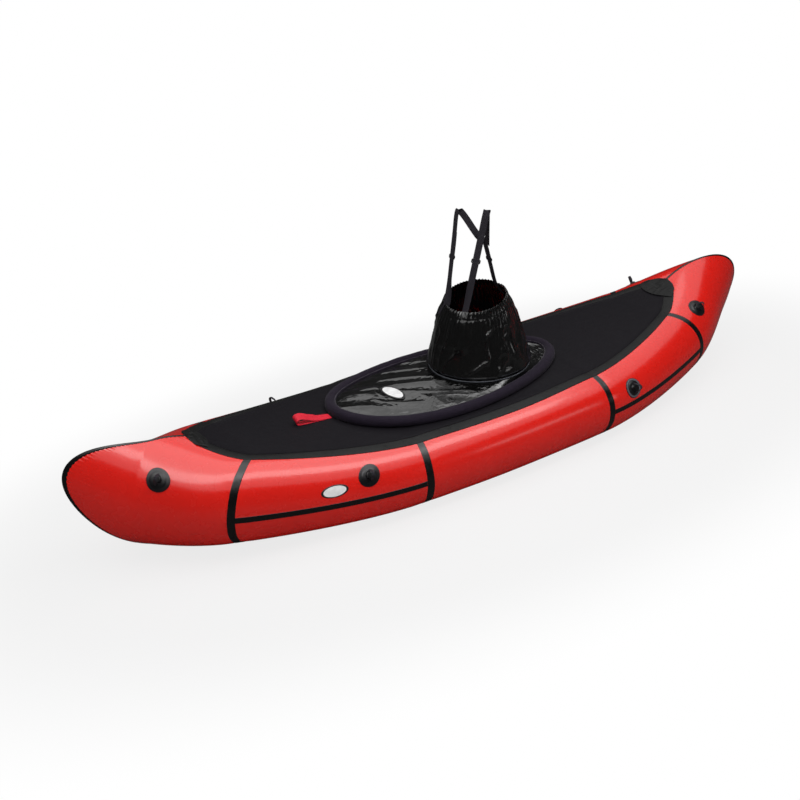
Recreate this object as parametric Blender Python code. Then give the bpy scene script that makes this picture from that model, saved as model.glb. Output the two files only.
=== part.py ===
"""An inflatable packraft with a welded spray deck and a removable spray skirt.

The hull is two bent air tubes, mirrored about the keel plane. Each is sewn from five
panels: a tall nose at either end, which is cut off along the keel plane, two short
panels and a long one between. Tapes cover the joints. A deck is welded over the tubes,
a skirt grips a coaming round the cockpit, and its body sleeve hangs from a pair of
braces. A seat and a back cushion lie inside, on the floor.

Metres, +X to the bow, +Y to port, +Z up. The hull stands on z = 0.
"""

import math

import bmesh
import bpy
import numpy as np
from mathutils import Vector
from mathutils.bvhtree import BVHTree

# Hull sizes
HULL_REACH = 1.460
HULL_BEAM = 0.777
TUBE_RADIUS = 0.128
HULL_SHIFT = -0.0125
END_LIFT = 0.200
TUBE_WALL = 0.0008
TUBE_SIDES = 24
PANEL_GAP = 0.0003
TAPE_WIDTH = 0.025
SIDE_TAPE_WIDTH = 0.019
TAPE_THICKNESS = 0.0007
TAPE_LIFT = 0.0007
SIDE_TAPE_LIFT = 0.0011
SEAM_TAPE_LIFT = 0.0010
FLOOR_THICKNESS = 0.0010
FLOOR_GAP = 0.0004
FLOOR_END_GAP = 0.0022

# Each station of a side tube, from stern to bow: its place along the tube, its reach as a
# share of the hull's, its distance from the keel plane and its radius as shares of the
# widest, its lift as a share of the ends', and how far its ring is turned, as a share of
# a right angle
STATION_SHARES = (
    (0.00, -1.000, -0.683, 1.121, 1.014, 0.278),
    (0.10, -0.817, -0.166, 1.368, 0.415, 0.459),
    (0.20, -0.626, 0.524, 1.131, 0.143, 0.407),
    (0.35, -0.267, 0.974, 1.000, 0.000, 0.081),
    (0.50, 0.000, 1.000, 1.000, 0.000, 0.030),
    (0.65, 0.257, 0.942, 1.000, 0.000, -0.095),
    (0.80, 0.652, 0.575, 1.142, 0.157, -0.539),
    (0.90, 0.819, -0.269, 1.528, 0.146, -0.431),
    (1.00, 1.000, -0.697, 1.313, 1.153, -0.256),
)
STERN_JOINT_SHARE = 0.20
AFT_JOINT_SHARE = 0.35
FORE_JOINT_SHARE = 0.65
BOW_JOINT_SHARE = 0.80
SHORT_PANEL_SHARES = (1 / 3, 2 / 3)
LONG_PANEL_SHARES = (0.26, 0.50, 0.74)
NOSE_ROW_SHARES = (0.18, 0.38, 0.58, 0.79)
# Each panel between the noses: where it starts and ends along the tube, and its rows
PANEL_SPANS = (
    (STERN_JOINT_SHARE, AFT_JOINT_SHARE, SHORT_PANEL_SHARES),
    (AFT_JOINT_SHARE, FORE_JOINT_SHARE, LONG_PANEL_SHARES),
    (FORE_JOINT_SHARE, BOW_JOINT_SHARE, SHORT_PANEL_SHARES),
)

# Deck sizes
DECK_THICKNESS = 0.0009
DECK_LIFT = 0.0016
DECK_CROWN = 0.014
BAND_WIDTH = 0.034
BAND_THICKNESS = 0.0010
BAND_LIFT = 0.0010
BAND_GAP = 0.0005
DECK_STERN_SHARE = 0.150
DECK_BOW_SHARE = 0.850
DECK_END_HALF_WIDTH = 0.036
DECK_END_INSET = 0.008
# Where the deck's edge lies on the tube: a place along it, and the turn round it from
# the level, as a share of a right angle
DECK_EDGE_SHARES = (
    (0.15, 1.05),
    (0.20, 0.96),
    (0.35, 0.80),
    (0.50, 0.70),
    (0.65, 0.72),
    (0.80, 0.97),
    (0.86, 1.02),
)

# Cockpit and coaming sizes
COCKPIT_CENTRE = 0.0555
COCKPIT_HALF_LENGTH = 0.460
COCKPIT_HALF_WIDTH = 0.30245 * HULL_BEAM
EGG_SHARE = 0.095
COAMING_RADIUS = 0.011
COAMING_GAP = 0.0009
RING_STEPS = 44

# Spray skirt sizes
RIM_RADIUS = 0.0205
RIM_CLEARANCE = 0.0008
SKIRT_THICKNESS = 0.0012
RIM_LIP_SHARE = -0.32
SKIRT_GAP = 0.0005
SKIRT_RISE = 0.003
SKIRT_RIPPLE = 0.0022
SKIRT_SHELF = 0.001
TUNNEL_CENTRE = -0.0995
TUNNEL_HALF_LENGTH = 0.200
TUNNEL_HALF_WIDTH = 0.26126 * HULL_BEAM
TUNNEL_HEIGHT = 0.260
TUNNEL_TUCK = 0.022
TUCK_SHARE = 0.08
MOUTH_CENTRE = -0.0905
MOUTH_HALF_LENGTH = 0.098
MOUTH_HALF_WIDTH = 0.16474 * HULL_BEAM
MOUTH_SLOPE = 0.265
TUNNEL_SEAM = 0.014
TUNNEL_THICKNESS = 0.0015
TUNNEL_STEPS = 48
FOLD_COUNT = 12
FOLD_DEPTH = 0.011
HEM_FLARE = 0.009

# Brace sizes
STRAP_WIDTH = 0.024
STRAP_THICKNESS = 0.0016
STRAP_GAP = 0.0007
STRAP_TUCK = 0.045
BRACE_TURN = 0.46
BRACE_SPREAD = 0.20
BRACE_TWIST_SHARE = 0.3
BRACE_STRAIGHT_SHARE = 0.8
SHOULDER_HEIGHT = 0.889
SHOULDER_HALF_WIDTH = 0.065
SHOULDER_PLACE = -0.0915
SHOULDER_SKEW = 0.017
CROSS_PLACE = -0.1425
CROSS_DROP = 0.144
BACK_SLIDER_SHARE = 0.624
FRONT_SLIDER_SHARE = 0.488
SLIDER_LENGTH = 0.018
SLIDER_WIDTH = 0.033
SLIDER_DEPTH = 0.0075

# Pull tab sizes
TAB_LENGTH = 0.142
TAB_WIDTH = 0.030
TAB_HEIGHT = 0.028
TAB_ROOT_SHARE = 0.26
TAB_THICKNESS = 0.0018
TAB_GAP = 0.0006
# The tab's outline and its opening, as shares of its length and height
TAB_OUTLINE_SHARES = (
    (0.00, TAB_ROOT_SHARE), (0.35, 0.24), (0.62, 0.62), (0.88, 1.00), (1.00, 0.62),
    (1.00, 0.28), (0.93, 0.00), (0.50, 0.00), (0.00, 0.00),
)
TAB_OPENING_SHARES = (
    (0.52, 0.30), (0.66, 0.52), (0.87, 0.86), (0.97, 0.58), (0.97, 0.30),
)

# Lashing pad and loop sizes
PAD_RADIUS = 0.0375
PAD_EDGE = 0.0014
PAD_LIFT = 0.0002
NOSE_PAD_LIFT = 0.0021
KNOB_RADIUS = 0.0105
KNOB_HEIGHT = 0.0112
LOOP_BORE_RADIUS = 0.0026
LOOP_WIRE_RADIUS = 0.0020
LOOP_AXIS_HEIGHT = 0.0068
LOOP_HALF_WIDTH = 0.0150
LOOP_LENGTH = 0.032
# Each pad's name, its place along the tube and its turn round it as a share of a
# right angle
PAD_SHARES = (
    ("bow", 0.874, 0.42),
    ("forward", 0.702, 0.39),
    ("aft", 0.315, 0.27),
    ("stern", 0.170, 0.60),
)

# Valve sizes
VALVE_PLACE_SHARE = 0.262
VALVE_TURN_SHARE = 0.40
VALVE_FLANGE_RADIUS = 0.031
VALVE_FLANGE_THICKNESS = 0.0016
VALVE_COLLAR_RADIUS = 0.0205
VALVE_COLLAR_HEIGHT = 0.0105
VALVE_BORE_RADIUS = 0.0150
VALVE_CAP_THICKNESS = 0.0034
VALVE_CAP_OVERHANG = 0.0015
VALVE_GAP = 0.0005

# Seat sizes
SEAT_LENGTH = 0.375
SEAT_SQUEEZE = 0.007
SEAT_WIDTH = HULL_BEAM - 4 * TUBE_RADIUS + SEAT_SQUEEZE
SEAT_HEIGHT = 0.078
SEAT_CENTRE = -0.0825
SEAT_SEAM = 0.0040
SEAT_CHANNEL_COUNT = 3
CHANNEL_DEPTH = 0.010
BACKREST_HEIGHT = 0.205
BACKREST_THICKNESS = 0.062
BACKREST_INSET = 0.019
BACKREST_WIDTH = SEAT_WIDTH - 2 * BACKREST_INSET
BACKREST_CHANNEL_COUNT = 2
SEAT_BACK_GAP = 0.030
SEAT_LIFT = 0.0006

# Angles
RIGHT_ANGLE = math.pi / 2
FACET = 2 * math.pi / TUBE_SIDES


def clear_scene():
    """Empty the scene."""
    for scene_object in list(bpy.data.objects):
        bpy.data.objects.remove(scene_object, do_unlink=True)


def make_material(name, colour, roughness, metallic=0.0):
    """A plain Principled material."""
    material = bpy.data.materials.new(name)
    material.use_nodes = True
    shader = material.node_tree.nodes["Principled BSDF"]
    shader.inputs["Base Color"].default_value = (*colour, 1.0)
    shader.inputs["Roughness"].default_value = roughness
    shader.inputs["Metallic"].default_value = metallic
    material.diffuse_color = (*colour, 1.0)
    return material


def add_mesh(name, points, faces, material, origin=(0, 0, 0)):
    """One object from points in the world and faces, with its faces turned outwards."""
    mesh = bpy.data.meshes.new(name)
    origin = np.asarray(origin, dtype=float)
    mesh.from_pydata((np.asarray(points) - origin).tolist(), [], faces)
    mesh.materials.append(material)
    work = bmesh.new()
    work.from_mesh(mesh)
    bmesh.ops.recalc_face_normals(work, faces=work.faces)
    if work.calc_volume(signed=True) < 0:
        bmesh.ops.reverse_faces(work, faces=work.faces)
    work.to_mesh(mesh)
    work.free()
    mesh.shade_smooth()
    mesh.set_sharp_from_angle(angle=RIGHT_ANGLE / 2)
    made = bpy.data.objects.new(name, mesh)
    made.location = origin
    bpy.context.scene.collection.objects.link(made)
    return made


def grid_faces(rows, columns, wrap_rows, wrap_columns, start=0):
    """The four-sided faces of a grid of points, row by row."""
    faces = []
    for row in range(rows if wrap_rows else rows - 1):
        for column in range(columns if wrap_columns else columns - 1):
            next_row = (row + 1) % rows
            next_column = (column + 1) % columns
            faces.append((
                start + row * columns + column,
                start + row * columns + next_column,
                start + next_row * columns + next_column,
                start + next_row * columns + column,
            ))
    return faces


def halved(faces):
    """Each four-sided face split in two along the same diagonal."""
    halves = []
    for first, second, third, fourth in faces:
        halves.append((first, second, third))
        halves.append((first, third, fourth))
    return halves


def add_sheet(name, outer, inner, material, wrap_rows=False, wrap_columns=False):
    """A closed sheet between two grids of points, with its free edges filled.

    Both grids are split along the same diagonals, so that the two walls stay side by side
    where the sheet is twisted.
    """
    rows, columns = outer.shape[:2]
    count = rows * columns
    points = np.concatenate([outer.reshape(-1, 3), inner.reshape(-1, 3)])
    faces = halved(grid_faces(rows, columns, wrap_rows, wrap_columns))
    inside = halved(grid_faces(rows, columns, wrap_rows, wrap_columns, count))
    faces += [face[::-1] for face in inside]
    edges = []
    if not wrap_rows:
        for row in (0, rows - 1):
            edges.append([row * columns + column for column in range(columns)])
    if not wrap_columns:
        for column in (0, columns - 1):
            edges.append([row * columns + column for row in range(rows)])
    for place, edge in enumerate(edges):
        along_row = place < 2 and not wrap_rows
        closed = wrap_columns if along_row else wrap_rows
        steps = len(edge) if closed else len(edge) - 1
        for step in range(steps):
            first = edge[step]
            second = edge[(step + 1) % len(edge)]
            faces.append((first, second, second + count, first + count))
    return add_mesh(name, points, faces, material)


def add_tube(name, rings, material, closed=False, origin=(0, 0, 0)):
    """A solid swept through rings of points, with its ends capped unless it is closed."""
    rows, columns = rings.shape[:2]
    faces = grid_faces(rows, columns, closed, True)
    if not closed:
        faces.append(tuple(range(columns)))
        faces.append(tuple(range((rows - 1) * columns, rows * columns)))
    return add_mesh(name, rings.reshape(-1, 3), faces, material, origin)


def cut_away(target, cutter):
    """Cut one closed solid out of another, and keep the cutter as a hidden guide."""
    cutter.hide_render = True
    cutter.display_type = "WIRE"
    boolean = target.modifiers.new("Cut " + cutter.name, "BOOLEAN")
    boolean.operation = "DIFFERENCE"
    boolean.solver = "EXACT"
    boolean.object = cutter


def unit(vectors):
    """Vectors scaled to a length of one."""
    return vectors / np.linalg.norm(vectors, axis=-1, keepdims=True)


def through(knots, values, place):
    """A smooth curve through values at knots that never swings past them.

    Each piece is a cubic whose end slopes are the harmonic mean of the slopes on either
    side, or zero where those differ in sign.
    """
    knots = np.asarray(knots, dtype=float)
    values = np.asarray(values, dtype=float)
    place = np.asarray(place, dtype=float)
    steps = np.diff(knots)[:, None]
    secants = np.diff(values, axis=0) / steps
    before, after = secants[:-1], secants[1:]
    same = before * after > 0
    safe_before = np.where(same, before, 1.0)
    safe_after = np.where(same, after, 1.0)
    middle = np.where(same, 2 / (1 / safe_before + 1 / safe_after), 0.0)
    slopes = np.concatenate([secants[:1], middle, secants[-1:]])
    index = np.clip(np.searchsorted(knots, place, side="right") - 1, 0, len(steps) - 1)
    step = steps[index]
    share = ((place - knots[index]) / step[..., 0])[..., None]
    square, cube = share**2, share**3
    return (
        values[index] * (2 * cube - 3 * square + 1)
        + slopes[index] * step * (cube - 2 * square + share)
        + values[index + 1] * (3 * square - 2 * cube)
        + slopes[index + 1] * step * (cube - square)
    )


def tube_table():
    """The stations of the port tube in real sizes: x, y, z, radius and ring turn."""
    shares = np.array(STATION_SHARES)
    radius = shares[:, 3] * TUBE_RADIUS
    base = FLOOR_THICKNESS + FLOOR_GAP + radius * math.cos(FACET / 2)
    return shares[:, 0], np.stack([
        shares[:, 1] * HULL_REACH + HULL_SHIFT,
        shares[:, 2] * (HULL_BEAM / 2 - TUBE_RADIUS),
        shares[:, 4] * END_LIFT + base,
        radius,
        shares[:, 5] * RIGHT_ANGLE,
    ], axis=-1)


def tube_at(place):
    """Centre, outward and upward vectors, and radius of the port tube at a place."""
    knots, values = tube_table()
    reach = 1e-4
    here = through(knots, values, place)
    change = through(knots, values, place + reach) - through(knots, values, place - reach)
    climb = change[..., 2] / np.hypot(change[..., 0], change[..., 1])
    level = 1 / np.hypot(1, climb)
    turn = here[..., 4]
    zero = np.zeros_like(turn)
    along = np.stack([np.cos(turn) * level, np.sin(turn) * level, climb * level], axis=-1)
    outward = np.stack([-np.sin(turn), np.cos(turn), zero], axis=-1)
    upward = np.cross(along, outward)
    return here[..., :3], outward, upward, here[..., 3]


def skin(place, turn, lift=0.0):
    """A point of the port tube's round skin: place along it, turn round it, lift off it."""
    place, turn, lift = np.broadcast_arrays(
        np.asarray(place, dtype=float), np.asarray(turn, dtype=float), lift)
    centre, outward, upward, radius = tube_at(place)
    radius = (radius + lift)[..., None]
    return centre + radius * (
        np.cos(turn)[..., None] * outward + np.sin(turn)[..., None] * upward)


def facet_skin(place, turn, lift=0.0):
    """A point of the port tube's many-sided skin, lifted square off its flat facets."""
    place, turn, lift = np.broadcast_arrays(
        np.asarray(place, dtype=float), np.asarray(turn, dtype=float), lift)
    from_middle = (turn + RIGHT_ANGLE + FACET / 2) % FACET - FACET / 2
    centre, outward, upward, radius = tube_at(place)
    flat = radius * math.cos(FACET / 2) + lift
    radius = (flat / np.cos(from_middle))[..., None]
    return centre + radius * (
        np.cos(turn)[..., None] * outward + np.sin(turn)[..., None] * upward)


def facet_turns():
    """The turns of the tube's corners, with one flat facet straight below."""
    return -RIGHT_ANGLE + FACET * (np.arange(TUBE_SIDES) + 0.5)


def place_length(place):
    """How far the centre line moves for a unit of place, there."""
    knots, values = tube_table()
    reach = 1e-4
    change = through(knots, values, place + reach) - through(knots, values, place - reach)
    return float(np.linalg.norm(change[..., :3]) / (2 * reach))


def keel_place(turns, toward_bow, side, lift, point_at):
    """The place where each lengthwise line of a nose reaches a distance from the keel."""
    near = np.full(len(turns), BOW_JOINT_SHARE if toward_bow else STERN_JOINT_SHARE)
    far = np.full(len(turns), 1.0 if toward_bow else 0.0)
    for _ in range(40):
        middle = (near + far) / 2
        inside = point_at(middle, turns, lift)[:, 1] > side
        near = np.where(inside, middle, near)
        far = np.where(inside, far, middle)
    return (near + far) / 2


def mirrored(points, port):
    """The points themselves to port, or their mirror image to starboard."""
    return points if port else points * np.array([1.0, -1.0, 1.0])


def panel_places(start, end, inner_shares):
    """Rows of a panel: its two ends, the edges of the tapes over them, and some between."""
    first_gap = PANEL_GAP / 2 / place_length(start)
    last_gap = PANEL_GAP / 2 / place_length(end)
    first_tape = TAPE_WIDTH / 2 / place_length(start)
    last_tape = TAPE_WIDTH / 2 / place_length(end)
    inner = [start + (end - start) * share for share in inner_shares]
    return np.array([start + first_gap, start + first_tape, *inner,
                     end - last_tape, end - last_gap])


def make_tube_panel(name, start, end, inner_shares, port, material):
    """A sewn panel between two joints: an open sleeve of coated cloth."""
    places = panel_places(start, end, inner_shares)[:, None]
    turns = facet_turns()[None, :]
    outer = mirrored(skin(places, turns), port)
    inner = mirrored(skin(places, turns, -TUBE_WALL), port)
    return add_sheet(name, outer, inner, material, wrap_columns=True)


def nose_rows(toward_bow):
    """Places of a nose's rows, one column for each corner of the tube."""
    turns = facet_turns()
    joint = BOW_JOINT_SHARE if toward_bow else STERN_JOINT_SHARE
    sign = 1 if toward_bow else -1
    tip = keel_place(turns, toward_bow, PANEL_GAP / 2, 0.0, skin)
    tape = keel_place(turns, toward_bow, TAPE_WIDTH / 2, 0.0, skin)
    step = place_length(joint)
    first = np.full(len(turns), joint + sign * PANEL_GAP / 2 / step)
    under_tape = np.full(len(turns), joint + sign * TAPE_WIDTH / 2 / step)
    between = [under_tape + (tape - under_tape) * share for share in NOSE_ROW_SHARES]
    return np.stack([first, under_tape, *between, tape, tip])


def make_nose(name, toward_bow, port, material):
    """A nose panel: the tube widens, turns inward and is cut off along the keel plane.

    The inner face has the rows of the outer one, so that the two stay side by side, and
    its last row stops short where it would cross the keel plane.
    """
    turns = facet_turns()
    rows = nose_rows(toward_bow)
    inner_rows = rows.copy()
    inner_tip = keel_place(turns, toward_bow, PANEL_GAP / 2, -TUBE_WALL, skin)
    nearer = np.minimum if toward_bow else np.maximum
    inner_rows[-1] = nearer(rows[-1], inner_tip)
    outer = mirrored(skin(rows, turns[None, :]), port)
    inner = mirrored(skin(inner_rows, turns[None, :], -TUBE_WALL), port)
    return add_sheet(name, outer, inner, material, wrap_columns=True)


def make_ring_tape(name, joint, port, material):
    """A tape round the tube over a joint, from above the floor up to the deck's band."""
    edge = float(deck_edge_turn(joint)) - BAND_GAP / TUBE_RADIUS
    corners = facet_turns()
    lowest = corners[corners > -RIGHT_ANGLE + 1.2 * FACET][0]
    inside = corners[(corners >= lowest) & (corners < edge - FACET / 8)]
    turns = np.append(inside, edge)[None, :]
    half = TAPE_WIDTH / 2 / place_length(joint)
    places = np.array([joint - half, joint + half])[:, None]
    low = mirrored(facet_skin(places, turns, TAPE_LIFT), port)
    high = mirrored(facet_skin(places, turns, TAPE_LIFT + TAPE_THICKNESS), port)
    return add_sheet(name, high, low, material)


def make_side_tape(name, start, end, port, material):
    """A lengthwise tape on the widest facet of a short panel, between two ring tapes."""
    inset = TAPE_WIDTH / 2 + PANEL_GAP
    first = start + inset / place_length(start)
    last = end - inset / place_length(end)
    inner = [start + (end - start) * share for share in SHORT_PANEL_SHARES]
    places = np.array([first, *inner, last])[:, None]
    half = SIDE_TAPE_WIDTH / 2 / TUBE_RADIUS
    turns = np.array([-half, half])[None, :]
    low = mirrored(facet_skin(places, turns, SIDE_TAPE_LIFT), port)
    high = mirrored(facet_skin(places, turns, SIDE_TAPE_LIFT + TAPE_THICKNESS), port)
    return add_sheet(name, high, low, material)


def seam_turns(toward_bow):
    """Corners of the nose that the seam tape follows, from the deck round to the floor."""
    share = DECK_BOW_SHARE if toward_bow else DECK_STERN_SHARE
    corners = facet_turns()
    reach = keel_place(corners, toward_bow, 0.0, 0.0, skin)
    if toward_bow:
        clear = reach > share + TAPE_WIDTH / place_length(share)
    else:
        clear = reach < share - TAPE_WIDTH / place_length(share)
    return corners[clear & (corners > -RIGHT_ANGLE) & (corners < 2 * RIGHT_ANGLE)]


def make_seam_tape(name, toward_bow, material):
    """The tape that wraps the keel seam of a nose, bent over its edge."""
    turns = seam_turns(toward_bow)
    layers = []
    for lift in (SEAM_TAPE_LIFT + TAPE_THICKNESS, SEAM_TAPE_LIFT):
        half = []
        for side in (TAPE_WIDTH / 2, TAPE_WIDTH / 5, 0.0):
            half.append(skin(keel_place(turns, toward_bow, side, lift, skin), turns, lift))
        other_half = [mirrored(line, False) for line in half[-2::-1]]
        layers.append(np.stack([*half, *other_half], axis=1))
    return add_sheet(name, layers[0], layers[1], material)


def deck_places():
    """Rows of the deck along the tubes."""
    rows = list(np.linspace(DECK_STERN_SHARE, STERN_JOINT_SHARE, 4)[:-1])
    for start, end, shares in PANEL_SPANS:
        rows.append(start)
        rows += [start + (end - start) * share for share in shares]
    return np.array(rows + list(np.linspace(BOW_JOINT_SHARE, DECK_BOW_SHARE, 4)))


def turn_at_side(places, side, lift):
    """The turn over the top of the tube at which it comes within a distance of the keel."""
    low = np.full(len(places), RIGHT_ANGLE / 2)
    high = np.full(len(places), 2 * RIGHT_ANGLE)
    for _ in range(40):
        middle = (low + high) / 2
        inside = skin(places, middle, lift)[:, 1] > side
        low = np.where(inside, middle, low)
        high = np.where(inside, high, middle)
    return low


def deck_edge_turn(place):
    """Turn round the tube of the outer edge of the deck's weld band."""
    table = np.array(DECK_EDGE_SHARES)
    return through(table[:, 0], table[:, 1:], place)[..., 0] * RIGHT_ANGLE


def band_end_turn(places):
    """Turn round the tube of the inner edge of the deck's weld band."""
    wanted = deck_edge_turn(places) + BAND_WIDTH / TUBE_RADIUS
    return np.minimum(wanted, turn_at_side(places, DECK_END_HALF_WIDTH, BAND_LIFT))


def crest_turn(places):
    """Turn round the tube at which the deck leaves it to span the middle."""
    wanted = np.maximum(band_end_turn(places) + FACET / 3, RIGHT_ANGLE)
    side = DECK_END_HALF_WIDTH - DECK_END_INSET
    return np.minimum(wanted, turn_at_side(places, side, DECK_LIFT))


def deck_height(x, y):
    """Height of the deck's underside at a point between the tubes' crests."""
    places = np.linspace(DECK_STERN_SHARE, DECK_BOW_SHARE, 200)
    crest = skin(places, crest_turn(places), DECK_LIFT)
    edge = np.interp(x, crest[:, 0], crest[:, 1])
    height = np.interp(x, crest[:, 0], crest[:, 2])
    bow_end, stern_end = crest[-1, 0], crest[0, 0]
    along = (np.asarray(x) - stern_end) / (bow_end - stern_end)
    crown = DECK_CROWN * np.sin(np.pi * np.clip(along, 0, 1))
    across = np.clip(np.abs(y) / edge, 0, 1)
    return height + crown * (1 - across**2)


DECK_INNER_SHARES = (0.72, 0.36, 0.0)


def deck_layers():
    """The upper and lower faces of the deck, before the cockpit is cut out."""
    places = deck_places()
    layers = []
    for lift in (DECK_LIFT + DECK_THICKNESS, DECK_LIFT):
        start = band_end_turn(places) + BAND_GAP / TUBE_RADIUS
        edge = skin(places, start, lift)
        top = skin(places, crest_turn(places), lift)
        half = [edge, top]
        for share in DECK_INNER_SHARES:
            point = top * np.array([1.0, share, 1.0])
            rise = deck_height(top[:, 0], point[:, 1]) - deck_height(top[:, 0], top[:, 1])
            point[:, 2] += rise
            half.append(point)
        port = np.stack(half, axis=1)
        starboard = mirrored(port[:, -2::-1], False)
        layers.append(np.concatenate([port, starboard], axis=1))
    return layers


def make_deck(material):
    """The deck: a crowned sheet from tube to tube, with the cockpit cut out of it."""
    upper, lower = deck_layers()
    deck = add_sheet("deck", upper, lower, material)
    outline = egg_path(RING_STEPS, -COAMING_RADIUS / 2)
    low = np.column_stack([outline, np.zeros(RING_STEPS)])
    high = np.column_stack([outline, np.full(RING_STEPS, HULL_BEAM)])
    cutter = add_tube("cockpit_cutter", np.stack([low, high]), material)
    cut_away(deck, cutter)
    return deck


def make_weld_band(name, port, material):
    """The glossy band that welds the deck's edge to a tube."""
    places = deck_places()
    start = deck_edge_turn(places)[:, None]
    spread = band_end_turn(places)[:, None] - start
    turns = start + spread * np.linspace(0, 1, 3)[None, :]
    outer = skin(places[:, None], turns, BAND_LIFT + BAND_THICKNESS)
    inner = skin(places[:, None], turns, BAND_LIFT)
    return add_sheet(name, mirrored(outer, port), mirrored(inner, port), material)


def egg_path(steps, grow):
    """Points of the cockpit's egg outline, moved outward by grow.

    x is the centre plus the half length times the cosine, and y the half width times the
    sine, which a little of the cosine makes fuller toward the bow.
    """
    angle = np.arange(steps) * 2 * np.pi / steps
    x = COCKPIT_HALF_LENGTH * np.cos(angle)
    y = COCKPIT_HALF_WIDTH * np.sin(angle) * (1 + EGG_SHARE * np.cos(angle))
    slope_x = -COCKPIT_HALF_LENGTH * np.sin(angle)
    slope_y = COCKPIT_HALF_WIDTH * (np.cos(angle) + EGG_SHARE * np.cos(2 * angle))
    length = np.hypot(slope_x, slope_y)
    return np.column_stack([
        COCKPIT_CENTRE + x + grow * slope_y / length,
        y - grow * slope_x / length,
    ])


def deck_tree():
    """The upper face of the deck as it is built, for laying things on it."""
    grid = deck_layers()[0]
    rows, columns = grid.shape[:2]
    points = [Vector(point) for point in grid.reshape(-1, 3)]
    return BVHTree.FromPolygons(points, grid_faces(rows, columns, False, False))


def heights_on(tree, flat):
    """Heights of the deck's upper face at points of the plan."""
    heights = []
    for x, y in flat:
        hit = tree.ray_cast(Vector((x, y, HULL_BEAM)), Vector((0, 0, -1)))
        heights.append(hit[0].z)
    return np.array(heights)


def coaming_height(outline):
    """Height of the coaming's centre line over the deck, round the cockpit."""
    tree = deck_tree()
    highest = heights_on(tree, outline)
    for step in (np.roll(outline, 1, axis=0), np.roll(outline, -1, axis=0)):
        highest = np.maximum(highest, heights_on(tree, outline * 0.7 + step * 0.3))
    return highest + COAMING_GAP + COAMING_RADIUS * math.cos(RIGHT_ANGLE / 4)


def egg_rings(section):
    """A ring round the cockpit of section points: outward distance and height."""
    base = coaming_height(egg_path(RING_STEPS, 0.0))
    rings = []
    for outward, height in section:
        flat = egg_path(RING_STEPS, outward)
        rings.append(np.column_stack([flat, base + height]))
    return np.stack(rings, axis=1)


def arc(radius, first, last, steps):
    """Points of an arc as pairs of outward distance and height, by right angles."""
    turns = np.linspace(first, last, steps) * RIGHT_ANGLE
    return [(radius * math.cos(turn), radius * math.sin(turn)) for turn in turns]


def make_coaming(material):
    """The coaming: a stiff round tube sewn along the edge of the cockpit."""
    section = arc(COAMING_RADIUS, 0.25, 3.75, 8)
    return add_tube("coaming", egg_rings(section), material, closed=True)


def make_skirt_rim(material):
    """The skirt's rim: a padded channel, open below, which grips over the coaming."""
    inside = (COAMING_RADIUS + RIM_CLEARANCE) / math.cos(RIGHT_ANGLE / 4)
    outer = arc(RIM_RADIUS, RIM_LIP_SHARE, 2, 8)
    inner = arc(inside, 2, 0, 5)
    section = outer + [(-RIM_RADIUS, -RIM_CLEARANCE), (-inside, -RIM_CLEARANCE)]
    section += inner + [(inside, -COAMING_RADIUS / 2)]
    return add_tube("skirt_rim", egg_rings(section), material, closed=True)


def tunnel_point(angle, share, outward):
    """A point of the body sleeve.

    Its radius falls from the base to the mouth along a bulging curve, its height grows
    with the share, and gathers push it outward more and more towards the mouth, where a
    frill flares out above the elastic.
    """
    angle = np.asarray(angle, dtype=float)
    share = np.asarray(share, dtype=float)
    narrow = share**1.35
    half_length = TUNNEL_HALF_LENGTH + (MOUTH_HALF_LENGTH - TUNNEL_HALF_LENGTH) * narrow
    half_width = TUNNEL_HALF_WIDTH + (MOUTH_HALF_WIDTH - TUNNEL_HALF_WIDTH) * narrow
    centre = TUNNEL_CENTRE + (MOUTH_CENTRE - TUNNEL_CENTRE) * share
    flat_front = np.exp(-((np.abs(wrap(angle)) - BRACE_TURN) / BRACE_SPREAD) ** 2)
    flat_back = np.exp(-(wrap(angle - np.pi) / BRACE_SPREAD) ** 2)
    calm = 1 - np.clip(flat_front + flat_back, 0, 1)
    gather = FOLD_DEPTH * np.sin(np.pi * np.clip(share / 0.97, 0, 1)) ** 0.8 * share**0.5
    fold = gather * (0.5 - 0.5 * np.cos(FOLD_COUNT * angle)) * calm
    flare = HEM_FLARE * np.clip((share - 0.93) / 0.07, 0, 1) * calm
    tuck = TUNNEL_TUCK * np.clip(1 - share / TUCK_SHARE, 0, 1)
    reach = outward + fold + flare - tuck
    x = centre + (half_length + reach) * np.cos(angle)
    y = (half_width + reach) * np.sin(angle)
    lean = MOUTH_SLOPE * (x - centre) * share**2
    z = SLEEVE_BASE + TUNNEL_HEIGHT * share - lean
    return np.stack([x, y, z], axis=-1)


def wrap(angle):
    """An angle brought between minus and plus half a turn."""
    return (angle + np.pi) % (2 * np.pi) - np.pi


def skirt_top():
    """Height on which the sleeve stands: just over the rim beside it."""
    beside = egg_path(RING_STEPS, 0.0)
    close = np.abs(beside[:, 0] - TUNNEL_CENTRE) < TUNNEL_HALF_LENGTH / 2
    rim_top = coaming_height(beside)[close].max() + RIM_RADIUS
    return rim_top + SKIRT_RISE + SKIRT_THICKNESS + SKIRT_GAP


SLEEVE_BASE = skirt_top()


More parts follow.
